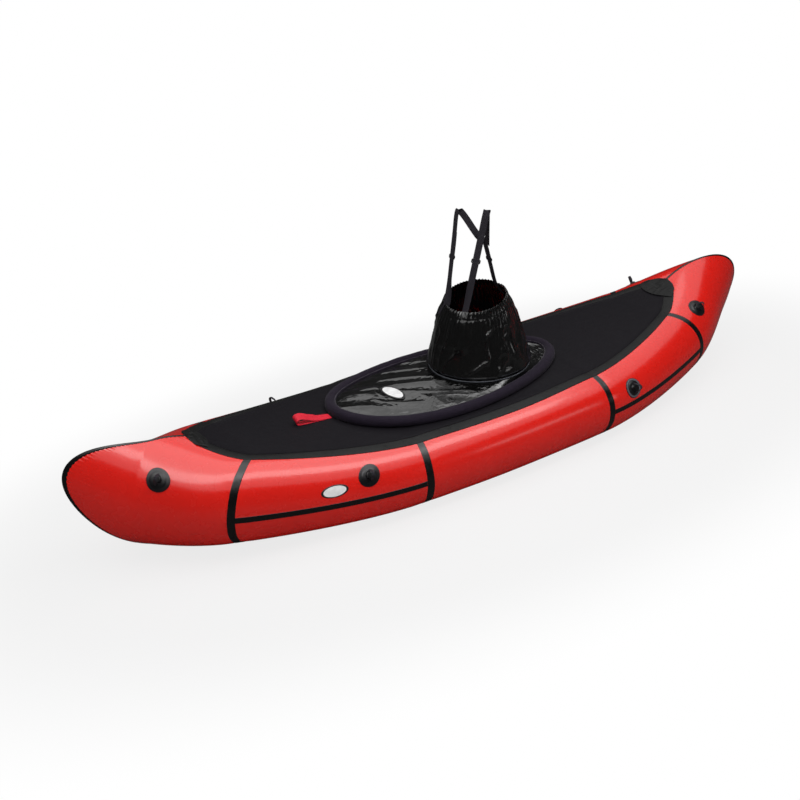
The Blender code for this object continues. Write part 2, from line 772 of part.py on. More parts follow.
def make_skirt_deck(material):
    """The skirt's cloth: a shallow cone from the rim up to the sleeve, softly rippled."""
    angle = np.arange(TUNNEL_STEPS) * 2 * np.pi / TUNNEL_STEPS
    hole = tunnel_point(angle, 0.0, -TUNNEL_SEAM)
    rim = egg_path(TUNNEL_STEPS * 8, -(RIM_RADIUS + SKIRT_GAP))
    aim = np.arctan2(hole[:, 1], hole[:, 0] - TUNNEL_CENTRE)
    rim_aim = np.unwrap(np.arctan2(rim[:, 1], rim[:, 0] - TUNNEL_CENTRE))
    wanted = np.unwrap(aim)
    rim_x = np.interp(wanted, rim_aim, rim[:, 0], period=2 * np.pi)
    rim_y = np.interp(wanted, rim_aim, rim[:, 1], period=2 * np.pi)
    base = coaming_height(np.column_stack([rim_x, rim_y]))
    edge = np.column_stack([rim_x, rim_y, base + COAMING_RADIUS / 2])
    top = hole.copy()
    top[:, 2] -= SKIRT_GAP + SKIRT_THICKNESS
    shelf = tunnel_point(angle, 0.0, SKIRT_SHELF)
    shelf[:, 2] = top[:, 2]
    rows = []
    for share in (0.0, 0.35, 0.70, 1.0):
        row = edge + (shelf - edge) * share
        swell = np.sin(np.pi * share)
        row[:, 2] += SKIRT_RIPPLE * swell * (1 + np.cos(7 * angle) * np.cos(3 * angle))
        rows.append(row)
    rows.append(top)
    low = np.stack(rows)
    high = low + np.array([0.0, 0.0, SKIRT_THICKNESS])
    return add_sheet("skirt_deck", high, low, material, wrap_columns=True)


TUNNEL_ROW_SHARES = (0.0, TUCK_SHARE, 0.22, 0.42, 0.64, 0.84, 0.93, 1.0)


def make_tunnel(material):
    """The body sleeve, gathered at its mouth by an elastic hem."""
    angle = np.arange(TUNNEL_STEPS) * 2 * np.pi / TUNNEL_STEPS
    shares = np.array(TUNNEL_ROW_SHARES)[:, None]
    outer = tunnel_point(angle[None, :], shares, 0.0)
    inner = tunnel_point(angle[None, :], shares, -TUNNEL_THICKNESS)
    inner[:, :, 2] = outer[:, :, 2]
    return add_sheet("body_tunnel", outer, inner, material, wrap_columns=True)


def ribbon(name, route, across, material, steps):
    """Flat webbing along a smooth route of points."""
    route = np.asarray(route, dtype=float)
    lengths = np.linalg.norm(np.diff(route, axis=0), axis=1)
    knots = np.concatenate([[0], np.cumsum(lengths)])
    place = np.linspace(0, knots[-1], steps)
    centre = through(knots, route, place)
    along = unit(np.gradient(centre, axis=0))
    across = through(knots, np.asarray(across, dtype=float), place)
    across = unit(across - (across * along).sum(axis=1, keepdims=True) * along)
    face = np.cross(along, across)
    half = across * STRAP_WIDTH / 2
    depth = face * STRAP_THICKNESS / 2
    rings = np.stack([
        centre + half + depth,
        centre - half + depth,
        centre - half - depth,
        centre + half - depth,
    ], axis=1)
    return add_tube(name, rings, material)


def wall_direction(angle):
    """The level direction of the sleeve's mouth at an angle round it."""
    step = np.array([-MOUTH_HALF_LENGTH * math.sin(angle), MOUTH_HALF_WIDTH * math.cos(angle), 0])
    return unit(step) * (1 if step[1] > 0 else -1)


def brace_foot(angle):
    """Where a brace is sewn inside the sleeve's mouth: its lower end and its lip point."""
    inward = -(TUNNEL_THICKNESS + STRAP_GAP + STRAP_THICKNESS)
    share = 1 - STRAP_TUCK / TUNNEL_HEIGHT
    low = tunnel_point(angle, share, inward)
    high = tunnel_point(angle, 1.0, inward)
    return low, high


def front_run(port):
    """The straight run of a front brace: from its foot to its shoulder."""
    side = 1 if port else -1
    low, high = brace_foot(side * BRACE_TURN)
    shoulder = np.array([
        SHOULDER_PLACE - side * SHOULDER_SKEW,
        side * SHOULDER_HALF_WIDTH,
        SHOULDER_HEIGHT + side * SHOULDER_SKEW / 2,
    ])
    return low, high, shoulder


def make_front_brace(name, port, material):
    """A front brace: up from the mouth, over the shoulder and down to the crossing."""
    side = 1 if port else -1
    low, high, shoulder = front_run(port)
    bend = STRAP_WIDTH
    cross = np.array([CROSS_PLACE, side * (STRAP_WIDTH / 2 + STRAP_GAP), SHOULDER_HEIGHT - CROSS_DROP])
    up = unit(shoulder - high)
    down = unit(cross - shoulder)
    before = shoulder - up * bend
    after = shoulder + down * bend
    lean = (before + after) / 2
    top = lean + (shoulder - lean) * 0.55
    untwisted = high + (before - high) * BRACE_TWIST_SHARE
    straight = high + (before - high) * BRACE_STRAIGHT_SHARE
    near_cross = after + (cross - after) * 0.6
    route = [low, high, untwisted, straight, before, top, after, near_cross, cross]
    level = np.array([0.0, 1.0, 0.0])
    wall = wall_direction(side * BRACE_TURN)
    across = [wall, wall] + [level] * 7
    return ribbon(name, route, across, material, 18)


def back_run():
    """The back brace's straight run: from the crossing down to the sleeve's mouth."""
    low, high = brace_foot(np.pi)
    start = np.array([CROSS_PLACE, 0.0, SHOULDER_HEIGHT - CROSS_DROP - STRAP_GAP])
    return start, high, low


def make_back_brace(material):
    """The back brace, from the crossing of the front braces to the sleeve's back."""
    start, high, low = back_run()
    middle = (start + high) / 2
    level = [np.array([0.0, 1.0, 0.0])] * 4
    return ribbon("back_brace", [start, middle, high, low], level, material, 8)


def make_slider(name, first, second, share, material):
    """A plastic slider: a flat ring on the webbing, a share of the way along its run."""
    centre = first + (second - first) * share
    along = unit(second - first)
    across = np.array([0.0, 1.0, 0.0])
    across = unit(across - across.dot(along) * along)
    face = np.cross(along, across)

    def ring(half_width, half_depth, end):
        middle = centre + along * end
        return [
            middle + across * half_width + face * half_depth,
            middle - across * half_width + face * half_depth,
            middle - across * half_width - face * half_depth,
            middle + across * half_width - face * half_depth,
        ]

    slot_width = STRAP_WIDTH / 2 + STRAP_GAP
    slot_depth = STRAP_THICKNESS / 2 + STRAP_GAP
    half = SLIDER_LENGTH / 2
    outer = np.array([
        ring(SLIDER_WIDTH / 2, SLIDER_DEPTH / 2, -half),
        ring(SLIDER_WIDTH / 2, SLIDER_DEPTH / 2, half),
    ])
    inner = np.array([ring(slot_width, slot_depth, -half), ring(slot_width, slot_depth, half)])
    return add_sheet(name, outer, inner, material, wrap_columns=True)


def make_pull_tab(material):
    """The pull tab: a flat loop of webbing sewn to the rim's front, open at its end."""
    root_x = egg_path(4, RIM_RADIUS)[0, 0] + TAB_GAP
    way = np.linspace(root_x, root_x + TAB_LENGTH, 12)
    under = heights_on(deck_tree(), [(x, 0.0) for x in way])
    deck_there, deck_tip = under[0], under[-1]
    chord = deck_there + (deck_tip - deck_there) * (way - root_x) / TAB_LENGTH
    lift = TAB_GAP + max(0.0, float((under - chord).max()))
    start = np.array([root_x, 0.0, deck_there + lift])
    along = unit(np.array([TAB_LENGTH, 0.0, deck_tip - deck_there]))
    upward = np.array([-along[2], 0.0, along[0]])
    hinge = start + upward * TAB_ROOT_SHARE * TAB_HEIGHT
    size = np.array([TAB_LENGTH, TAB_HEIGHT])
    profile = np.array(TAB_OUTLINE_SHARES) * size
    hole = [tuple(point) for point in np.array(TAB_OPENING_SHARES) * size]
    hole += [(TAB_LENGTH * 0.90, TAB_THICKNESS), (TAB_LENGTH * 0.56, TAB_THICKNESS)]

    def slab(flat, half):
        points = []
        for side in (-half, half):
            ring = [start + along * length + upward * height for length, height in flat]
            points.append(np.array(ring) + np.array([0.0, side, 0.0]))
        return np.stack(points)

    tab = add_tube("pull_tab", slab(profile, TAB_WIDTH / 2), material, origin=hinge)
    cutter = add_tube("tab_cutter", slab(hole, TAB_WIDTH), material)
    cut_away(tab, cutter)
    return tab


def surface_frame(place, turn, lift):
    """A point on the tube with its along, round and outward directions and its scale."""
    reach = 1e-3
    point = skin(place, turn, lift)
    along = skin(place + reach, turn, lift) - skin(place - reach, turn, lift)
    round_way = skin(place, turn + reach, lift) - skin(place, turn - reach, lift)
    outward = unit(np.cross(along, round_way))
    if outward.dot(skin(place, turn, lift + reach) - point) < 0:
        outward = -outward
    u = unit(along)
    v = np.cross(outward, u)
    if v.dot(round_way) < 0:
        v = -v
    speed = np.linalg.norm(along) / (2 * reach)
    return point, u, v, outward, speed


def pad_lift(place):
    """How far a pad's underside clears the skin: more on the saddle of the bow's nose."""
    return NOSE_PAD_LIFT if place > BOW_JOINT_SHARE else PAD_LIFT


def turned_on_tube(name, profile, place, turn, port, material, steps, closed):
    """A turned shape laid on the tube so that its base follows the skin.

    The profile is radius and height. Every point is carried to the tube's skin at its
    distance along and round from the middle, and lifted by its height.
    """
    speed = surface_frame(place, turn, pad_lift(place))[4]
    radius_there = float(tube_at(np.asarray(place))[3])
    angle = np.arange(steps) * 2 * np.pi / steps
    rings = []
    for radius, height in profile:
        along = radius * np.cos(angle) / speed
        round_way = radius * np.sin(angle) / radius_there
        rings.append(skin(place + along, turn + round_way, pad_lift(place) + height))
    rings = mirrored(np.stack(rings), port)
    return add_tube(name, rings, material, closed=closed)


def make_pad(side, port, name, place, turn, material):
    """A moulded lashing pad: a thin disc with a bored knob, which holds the loop."""
    flat_radius = KNOB_RADIUS * 1.35
    profile = [
        (KNOB_RADIUS / 2, 0.0),
        (PAD_RADIUS * 0.45, 0.0),
        (PAD_RADIUS * 0.75, 0.0),
        (PAD_RADIUS, 0.0),
        (PAD_RADIUS, PAD_EDGE),
        (flat_radius * 1.25, PAD_EDGE * 1.9),
        (flat_radius, PAD_EDGE * 3.0),
        (KNOB_RADIUS, KNOB_HEIGHT * 0.86),
        (KNOB_RADIUS * 0.72, KNOB_HEIGHT),
    ]
    pad = turned_on_tube(f"{side}_{name}_pad", profile, place, turn, port, material, 16, False)
    point, u, v, outward, _ = surface_frame(place, turn, pad_lift(place))
    axis_point = point + outward * LOOP_AXIS_HEIGHT
    ends = []
    for end in (-PAD_RADIUS, PAD_RADIUS):
        angles = np.arange(10) * 2 * np.pi / 10
        ring = (axis_point + v * end)[None, :] + LOOP_BORE_RADIUS * (
            np.cos(angles)[:, None] * u + np.sin(angles)[:, None] * outward)
        ends.append(ring)
    cutter = add_tube(f"{side}_{name}_bore", mirrored(np.stack(ends), port), material)
    cut_away(pad, cutter)
    return pad


def make_loop(side, port, name, place, turn, material):
    """A small loop that stands out from its pad, with its straight bar in the bore."""
    point, u, v, outward, _ = surface_frame(place, turn, pad_lift(place))
    middle = point + outward * LOOP_AXIS_HEIGHT
    half, tip = LOOP_HALF_WIDTH, LOOP_LENGTH
    shape_shares = (
        (-1.0, 0.0), (1.0, 0.0), (1.16, 0.10), (1.12, 0.26), (0.46, 0.88),
        (0.20, 1.0), (-0.20, 1.0), (-0.46, 0.88), (-1.12, 0.26), (-1.16, 0.10),
    )
    centre = np.array([middle + v * (a * half) + outward * (b * tip) for a, b in shape_shares])
    before = np.roll(centre, 1, axis=0)
    after = np.roll(centre, -1, axis=0)
    along = unit(unit(centre - before) + unit(after - centre))
    across = np.cross(along, u)
    angles = np.arange(6) * 2 * np.pi / 6
    rings = centre[:, None, :] + LOOP_WIRE_RADIUS * (
        np.cos(angles)[None, :, None] * across[:, None, :]
        + np.sin(angles)[None, :, None] * u[None, None, :])
    origin = mirrored(middle, port)
    return add_tube(f"{side}_{name}_loop", mirrored(rings, port), material, True, origin)


def make_valve(rubber, plastic):
    """The inflation valve on the starboard side: a flanged collar and its flip cap."""
    turn = VALVE_TURN_SHARE * RIGHT_ANGLE
    place = VALVE_PLACE_SHARE
    profile = [
        (VALVE_BORE_RADIUS, 0.0),
        (VALVE_FLANGE_RADIUS, 0.0),
        (VALVE_FLANGE_RADIUS, VALVE_FLANGE_THICKNESS),
        (VALVE_COLLAR_RADIUS, VALVE_FLANGE_THICKNESS * 2),
    ]
    base = []
    speed = surface_frame(place, turn, PAD_LIFT)[4]
    radius_there = float(tube_at(np.asarray(place))[3])
    steps = 20
    angle = np.arange(steps) * 2 * np.pi / steps
    for radius, height in profile:
        along = radius * np.cos(angle) / speed
        round_way = radius * np.sin(angle) / radius_there
        base.append(skin(place + along, turn + round_way, PAD_LIFT + height))
    point, u, v, outward, _ = surface_frame(place, turn, PAD_LIFT)
    for radius in (VALVE_COLLAR_RADIUS, VALVE_BORE_RADIUS):
        flat = point + radius * (np.cos(angle)[:, None] * u + np.sin(angle)[:, None] * v)
        base.append(flat + outward * VALVE_COLLAR_HEIGHT)
    add_tube("valve_base", mirrored(np.stack(base), False), rubber, closed=True)
    bottom = VALVE_COLLAR_HEIGHT + VALVE_GAP
    cap_radius = VALVE_COLLAR_RADIUS + VALVE_CAP_OVERHANG
    rings = []
    for radius, height in (
        (cap_radius, bottom),
        (cap_radius, bottom + VALVE_CAP_THICKNESS * 0.7),
        (cap_radius * 0.92, bottom + VALVE_CAP_THICKNESS),
    ):
        flat = point + radius * (np.cos(angle)[:, None] * u + np.sin(angle)[:, None] * v)
        rings.append(flat + outward * height)
    hinge = point + v * cap_radius + outward * bottom
    add_tube("valve_cap", mirrored(np.stack(rings), False), plastic, origin=mirrored(hinge, False))


def floor_places():
    """Rows of the floor: those of the panels over it and some under the noses."""
    rows = list(np.linspace(DECK_STERN_SHARE, STERN_JOINT_SHARE, 4)[:-1])
    for start, end, shares in PANEL_SPANS:
        rows += list(panel_places(start, end, shares)[1:-1])
    return np.array(rows + list(np.linspace(BOW_JOINT_SHARE, DECK_BOW_SHARE, 4)[1:]))


def make_floor(material):
    """The floor: one sheet welded under both tubes, flat amidships and lifting aft."""
    places = floor_places()
    beyond = np.maximum(AFT_JOINT_SHARE - places, places - FORE_JOINT_SHARE)
    ends = np.clip(beyond / (BOW_JOINT_SHARE - FORE_JOINT_SHARE), 0, 1)
    lift = FLOOR_GAP + (FLOOR_END_GAP - FLOOR_GAP) * ends
    edge_high = facet_skin(places, -RIGHT_ANGLE, lift)
    edge_low = edge_high - np.array([0.0, 0.0, FLOOR_THICKNESS])
    layers = []
    for edge in (edge_high, edge_low):
        middle = edge * np.array([1.0, 0.0, 1.0])
        layers.append(np.stack([edge, middle, mirrored(edge, False)], axis=1))
    return add_sheet("floor_sheet", layers[0], layers[1], material)


def cushion_half(length, width, height, channels, sign, share_steps):
    """One face of a cushion: crowned, with drawn-in sides and sewn channels.

    The height falls to the seam along a rounded curve on all four sides, and a cosine
    across the width presses the channels in.
    """
    a = np.linspace(-1, 1, share_steps)
    b = np.linspace(-1, 1, 4 * channels + 1)
    long_share, wide_share = np.meshgrid(a, b, indexing="ij")
    pull = 0.06
    x = long_share * (1 - pull * (1 - wide_share**2)) * length / 2
    y = wide_share * (1 - pull * (1 - long_share**2)) * width / 2
    crown = np.sqrt(np.clip((1 - long_share**4) * (1 - wide_share**4), 0, 1))
    channel = 0.5 + 0.5 * np.cos(channels * np.pi * (wide_share + 1))
    inside = crown**2
    half = SEAT_SEAM / 2 + (height - SEAT_SEAM) / 2 * crown - CHANNEL_DEPTH * channel * inside
    return x, y, sign * np.maximum(half, SEAT_SEAM / 2)


def make_seat(material):
    """The seat: a crowned air cushion with lengthwise channels, flat where it rests."""
    upper = np.stack(cushion_half(SEAT_LENGTH, SEAT_WIDTH, SEAT_HEIGHT, SEAT_CHANNEL_COUNT, 1, 7), -1)
    lower = np.stack(cushion_half(SEAT_LENGTH, SEAT_WIDTH, SEAT_HEIGHT, SEAT_CHANNEL_COUNT, -1, 7), -1)
    base = FLOOR_THICKNESS + SEAT_LIFT
    middle = np.array([SEAT_CENTRE, 0.0, base + SEAT_HEIGHT / 2])
    lower[..., 2] = np.maximum(lower[..., 2], -SEAT_HEIGHT / 2)
    return add_sheet("seat_cushion", upper + middle, lower + middle, material)


def backrest_pivot():
    """The backrest's turning line: the middle of its rounded foot."""
    back = SEAT_CENTRE - SEAT_LENGTH / 2 - SEAT_BACK_GAP - BACKREST_THICKNESS / 2
    return np.array([back, 0.0, FLOOR_THICKNESS + SEAT_LIFT + BACKREST_THICKNESS / 2])


def make_backrest(material):
    """The backrest: an upright air cushion on a rounded foot."""
    size = (BACKREST_HEIGHT, BACKREST_WIDTH, BACKREST_THICKNESS)
    front = cushion_half(*size, BACKREST_CHANNEL_COUNT, 1, 7)
    back = cushion_half(*size, BACKREST_CHANNEL_COUNT, -1, 7)
    pivot = backrest_pivot()
    rise = pivot[2] - BACKREST_THICKNESS / 2 + BACKREST_HEIGHT / 2
    layers = []
    for height, across, depth in (front, back):
        layers.append(np.stack([pivot[0] + depth, across, rise + height], axis=-1))
    return add_sheet("backrest_cushion", layers[0], layers[1], material)


def make_hull(red, tape):
    """All panels and tapes of both side tubes."""
    short = (
        ("aft", STERN_JOINT_SHARE, AFT_JOINT_SHARE),
        ("forward", FORE_JOINT_SHARE, BOW_JOINT_SHARE),
    )
    joints = (
        ("stern", STERN_JOINT_SHARE),
        ("aft", AFT_JOINT_SHARE),
        ("forward", FORE_JOINT_SHARE),
        ("bow", BOW_JOINT_SHARE),
    )
    for side, port in (("port", True), ("starboard", False)):
        make_nose(f"{side}_bow_nose", True, port, red)
        make_nose(f"{side}_stern_nose", False, port, red)
        make_tube_panel(
            f"{side}_mid_tube", AFT_JOINT_SHARE, FORE_JOINT_SHARE, LONG_PANEL_SHARES, port, red)
        for name, start, end in short:
            make_tube_panel(f"{side}_{name}_tube", start, end, SHORT_PANEL_SHARES, port, red)
            make_side_tape(f"{side}_{name}_side_tape", start, end, port, tape)
        for name, joint in joints:
            make_ring_tape(f"{side}_{name}_ring_tape", joint, port, tape)
    make_seam_tape("bow_seam_tape", True, tape)
    make_seam_tape("stern_seam_tape", False, tape)


def make_lashings(rubber, webbing):
    """The eight lashing pads and their loops."""
    for side, port in (("port", True), ("starboard", False)):
        for name, place, turn_share in PAD_SHARES:
            turn = turn_share * RIGHT_ANGLE
            make_pad(side, port, name, place, turn, rubber)
            make_loop(side, port, name, place, turn, webbing)


def make_braces(webbing, plastic):
    """The skirt's braces with their three sliders."""
    for side, port in (("port", True), ("starboard", False)):
        make_front_brace(f"{side}_front_brace", port, webbing)
        _, high, shoulder = front_run(port)
        make_slider(f"{side}_brace_slider", high, shoulder, FRONT_SLIDER_SHARE, plastic)
    make_back_brace(webbing)
    start, high, _ = back_run()
    make_slider("back_brace_slider", high, start, BACK_SLIDER_SHARE, plastic)


def main():
    """Build the whole packraft."""
    clear_scene()
    red = make_material("red_hull_cloth", (0.62, 0.012, 0.006), 0.28)
    tape = make_material("black_seam_tape", (0.018, 0.018, 0.018), 0.40)
    deck_cloth = make_material("black_deck_cloth", (0.012, 0.011, 0.013), 0.62)
    weld = make_material("weld_band_film", (0.055, 0.053, 0.055), 0.35)
    skirt_cloth = make_material("wet_black_skirt_cloth", (0.010, 0.010, 0.011), 0.22)
    rim_foam = make_material("rim_foam", (0.020, 0.015, 0.026), 0.75)
    webbing = make_material("black_webbing", (0.022, 0.020, 0.025), 0.80)
    plastic = make_material("black_plastic", (0.020, 0.020, 0.022), 0.35)
    rubber = make_material("moulded_rubber", (0.022, 0.022, 0.024), 0.50)
    tab = make_material("red_tab_webbing", (0.75, 0.018, 0.040), 0.60)
    floor_cloth = make_material("floor_cloth", (0.030, 0.030, 0.032), 0.55)
    air_cushion = make_material("seat_cloth", (0.035, 0.035, 0.038), 0.55)
    make_hull(red, tape)
    make_floor(floor_cloth)
    make_deck(deck_cloth)
    make_weld_band("port_weld_band", True, weld)
    make_weld_band("starboard_weld_band", False, weld)
    make_coaming(plastic)
    make_seat(air_cushion)
    make_backrest(air_cushion)
    make_lashings(rubber, webbing)
    make_valve(rubber, plastic)
    make_skirt_rim(rim_foam)
    make_skirt_deck(skirt_cloth)
    make_tunnel(skirt_cloth)
    make_pull_tab(tab)
    make_braces(webbing, plastic)


main()
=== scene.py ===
# %% [markdown]
# # An inflatable packraft, dressed over its working frame
#
# A packraft is a small boat of coated cloth, blown up by mouth and bag. This one has two
# bent side tubes, a welded deck and a spray skirt that grips a ring round the cockpit.
# The frame holds every piece in its place and at its size, and this file gives each of
# them its fine shape and its finish. The frame comes first, because everything rides on it.

# %% Load the frame
import math

import bpy
import numpy as np
from mathutils import Matrix, Vector
from mathutils.bvhtree import BVHTree


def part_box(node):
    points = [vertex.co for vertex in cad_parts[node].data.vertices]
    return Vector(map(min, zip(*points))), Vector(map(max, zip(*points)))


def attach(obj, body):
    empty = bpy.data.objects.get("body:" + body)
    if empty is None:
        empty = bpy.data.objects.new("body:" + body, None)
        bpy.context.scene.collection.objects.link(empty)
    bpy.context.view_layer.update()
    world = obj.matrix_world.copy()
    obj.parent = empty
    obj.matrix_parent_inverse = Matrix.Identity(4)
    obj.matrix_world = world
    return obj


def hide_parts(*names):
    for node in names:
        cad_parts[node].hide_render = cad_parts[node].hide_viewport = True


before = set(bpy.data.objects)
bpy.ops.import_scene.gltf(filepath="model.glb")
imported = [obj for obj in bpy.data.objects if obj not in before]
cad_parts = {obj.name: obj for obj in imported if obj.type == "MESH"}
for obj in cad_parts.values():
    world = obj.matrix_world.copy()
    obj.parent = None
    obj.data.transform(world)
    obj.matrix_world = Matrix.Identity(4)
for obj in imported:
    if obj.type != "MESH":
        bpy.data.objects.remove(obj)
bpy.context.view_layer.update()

# %% [markdown]
# ## The camera
#
# The view is a little above the boat and off its port bow. The camera turns round a
# point over the keel: its azimuth, height angle and distance place it, and a small roll
# tilts the picture. A long lens keeps the far end of a three-metre boat from shrinking.

# %% Place the camera
CAMERA_AZIMUTH = math.radians(148.4048)
CAMERA_HEIGHT_ANGLE = math.radians(25.9629)
CAMERA_ROLL = math.radians(-3.80256)
CAMERA_DISTANCE = 3.93945
CAMERA_TARGET = Vector((0.253969, 0.0, 0.252364))
CAMERA_LENS = 49.603
SENSOR_WIDTH = 36.0


def added(name, data):
    """A new object in the scene."""
    made = bpy.data.objects.new(name, data)
    bpy.context.scene.collection.objects.link(made)
    return made


back = Vector((
    math.sin(CAMERA_AZIMUTH) * math.cos(CAMERA_HEIGHT_ANGLE),
    -math.cos(CAMERA_AZIMUTH) * math.cos(CAMERA_HEIGHT_ANGLE),
    math.sin(CAMERA_HEIGHT_ANGLE),
))
level_right = (-back).cross(Vector((0.0, 0.0, 1.0))).normalized()
level_up = level_right.cross(-back)
picture_right = math.cos(CAMERA_ROLL) * level_right + math.sin(CAMERA_ROLL) * level_up
picture_up = math.cos(CAMERA_ROLL) * level_up - math.sin(CAMERA_ROLL) * level_right
camera_data = bpy.data.cameras.new("camera")
camera_data.lens = CAMERA_LENS
camera_data.sensor_width = SENSOR_WIDTH
camera = added("camera", camera_data)
camera_turn = Matrix((picture_right, picture_up, back)).transposed().to_4x4()
camera.matrix_world = Matrix.Translation(CAMERA_TARGET + back * CAMERA_DISTANCE) @ camera_turn
bpy.context.scene.camera = camera
print("camera stands at", [round(value, 3) for value in camera.matrix_world.translation])

# %% [markdown]
# ## Shader sums in Python
#
# A material is a tree of nodes, and most of it is arithmetic. Wrapping a socket in a
# small class lets ordinary sums build that tree: adding two sockets makes an Add node.
# Every other node comes from one method, which sets its settings before its sockets.

# %% Wrap sockets and materials
class Value:
    """A node's output, for use in sums."""

    def __init__(self, nodes, socket):
        self.nodes = nodes
        self.socket = socket

    def __add__(self, other):
        return self.nodes.sum("ADD", self, other)

    def __mul__(self, other):
        return self.nodes.sum("MULTIPLY", self, other)


class Nodes:
    """The node tree of a material or a world, and the shader that the nodes feed."""

    def __init__(self, owner, shader):
        owner.use_nodes = True
        self.tree = owner.node_tree
        self.shader = self.tree.nodes[shader]

    def node(self, kind, settings, inputs, output=0):
        """A node of this kind: its settings, then the values or links of its sockets."""
        made = self.tree.nodes.new(kind)
        for name, value in settings.items():
            setattr(made, name, value)
        for name, value in inputs.items():
            if isinstance(value, Value):
                self.tree.links.new(value.socket, made.inputs[name])
            else:
                made.inputs[name].default_value = value
        return Value(self, made.outputs[output])

    def sum(self, operation, first, second):
        """A sum of two numbers."""
        return self.node("ShaderNodeMath", {"operation": operation}, {0: first, 1: second})

    def feed(self, name, value):
        """Link a value to one of the shader's sockets."""
        self.tree.links.new(value.socket, self.shader.inputs[name])

    def spot(self):
        """The point of the piece that is being shaded, in metres."""
        return self.node("ShaderNodeTexCoord", {}, {}, "Object")

    def parts(self, vector):
        """The three numbers of a vector."""
        split = self.node("ShaderNodeSeparateXYZ", {}, {0: vector})
        return [Value(self, output) for output in split.socket.node.outputs]

    def stretched(self, vector, scale):
        """A vector with each of its numbers scaled."""
        return self.node("ShaderNodeMapping", {}, {"Vector": vector, "Scale": scale})

    def noise(self, vector, per_metre, detail=2.0, rough=0.5):
        """Smooth noise from 0 to 1 with this many lumps to the metre."""
        return self.node("ShaderNodeTexNoise", {}, {
            "Vector": vector, "Scale": per_metre, "Detail": detail, "Roughness": rough})

    def between(self, value, low, high, least=0.0):
        """The least value below low, 1 above high, and a smooth climb between them."""
        settings = {"interpolation_type": "SMOOTHSTEP"}
        return self.node("ShaderNodeMapRange", settings, {0: value, 1: low, 2: high, 3: least})

    def mixed(self, share, first, second):
        """A colour between two others."""
        return self.node("ShaderNodeMix", {"data_type": "RGBA"}, {
            0: share, 6: (*first, 1.0), 7: (*second, 1.0)}, 2)

    def wave(self, value, per_metre):
        """A sine wave from -1 to 1 with this many crests to the metre."""
        return self.node(
            "ShaderNodeMath", {"operation": "SINE"}, {0: value * (2 * math.pi * per_metre)})


class Paint(Nodes):
    """One material, its Principled shader, and the nodes that feed it."""

    def __init__(self, name, colour, roughness, **finish):
        self.name = name
        self.material = bpy.data.materials.new(name)
        super().__init__(self.material, "Principled BSDF")
        self.shader.inputs["Base Color"].default_value = (*colour, 1.0)
        self.shader.inputs["Roughness"].default_value = roughness
        for socket, value in finish.items():
            self.shader.inputs[socket.replace("_", " ")].default_value = value
        self.material.diffuse_color = (*colour, 1.0)

    def ribs(self, along_per_metre, across_per_metre):
        """Waves along and across the piece's own flat lengths, multiplied: from -1 to 1."""
        lengths = self.node("ShaderNodeUVMap", {"uv_map": "lengths"}, {})
        along, across, _ = self.parts(lengths)
        return self.wave(along, along_per_metre) * self.wave(across, across_per_metre)

    def relief(self, millimetres):
        """Raise the surface by a height in millimetres."""
        self.feed("Normal", self.node("ShaderNodeBump", {}, {
            "Height": millimetres, "Distance": 0.001, "Strength": 1.0}))


# %% [markdown]
# ## Grids of points
#
# Every shape below is a grid: one parameter runs along it and one across it, and numpy
# works out all points at once. A grid becomes a closed sheet with two faces and a real
# thickness, or a tube. The flat lengths of the grid go into a UV map, in metres, so that
# a weave follows the cloth.

# %% Turn grids into closed forms
SHARP_ANGLE = math.radians(42)


def unit(vectors):
    """Vectors scaled to a length of one."""
    return vectors / np.linalg.norm(vectors, axis=-1, keepdims=True)


def circle_angles(count):
    """Angles right round, evenly spaced."""
    return np.arange(count) * 2 * np.pi / count


def spokes(turns, first, second):
    """Directions at these turns, from a first direction toward a second one."""
    return np.cos(turns)[:, None] * first + np.sin(turns)[:, None] * second


def closed_line(points):
    """A line of points with its first one again at its end."""
    return np.concatenate([points, points[:1]])


def line_lengths(points):
    """Length along each line of points, from the first, with the lines in the last rows."""
    steps = np.linalg.norm(np.diff(points, axis=0), axis=-1)
    return np.concatenate([np.zeros_like(steps[:1]), np.cumsum(steps, axis=0)])


def grid_form(grid, wrap_rows=False, wrap_columns=False):
    """A grid's points, its faces, and the flat lengths at their corners."""
    rows, columns = grid.shape[:2]
    row = np.arange(rows if wrap_rows else rows - 1)[:, None]
    column = np.arange(columns if wrap_columns else columns - 1)[None, :]
    row, column = np.broadcast_arrays(row, column)
    corner_rows = np.stack([row, row, row + 1, row + 1], axis=-1).reshape(-1, 4)
    corner_columns = np.stack([column, column + 1, column + 1, column], axis=-1).reshape(-1, 4)
    along_line, across_line = grid[:, 0], grid[rows // 2]
    if wrap_rows:
        along_line = closed_line(along_line)
    if wrap_columns:
        across_line = closed_line(across_line)
    along, across = (line_lengths(line[:, None])[:, 0] for line in (along_line, across_line))
    faces = (corner_rows % rows) * columns + corner_columns % columns
    lengths = np.stack([along[corner_rows], across[corner_columns]], axis=-1)
    return grid.reshape(-1, 3), faces, lengths


def outward(form):
    """The form with its faces turned outwards, told by the sign of its volume."""
    points, faces, lengths = form
    first, second, third, fourth = (points[faces[:, corner]] for corner in range(4))
    volume = (first * (np.cross(second, third) + np.cross(third, fourth))).sum()
    if volume < 0:
        return points, faces[:, ::-1], lengths[:, ::-1]
    return form


def joined(forms):
    """Several forms as one."""
    starts = np.cumsum([0] + [len(form[0]) for form in forms])
    points = np.concatenate([form[0] for form in forms])
    faces = np.concatenate([form[1] + start for form, start in zip(forms, starts)])
    return points, faces, np.concatenate([form[2] for form in forms])


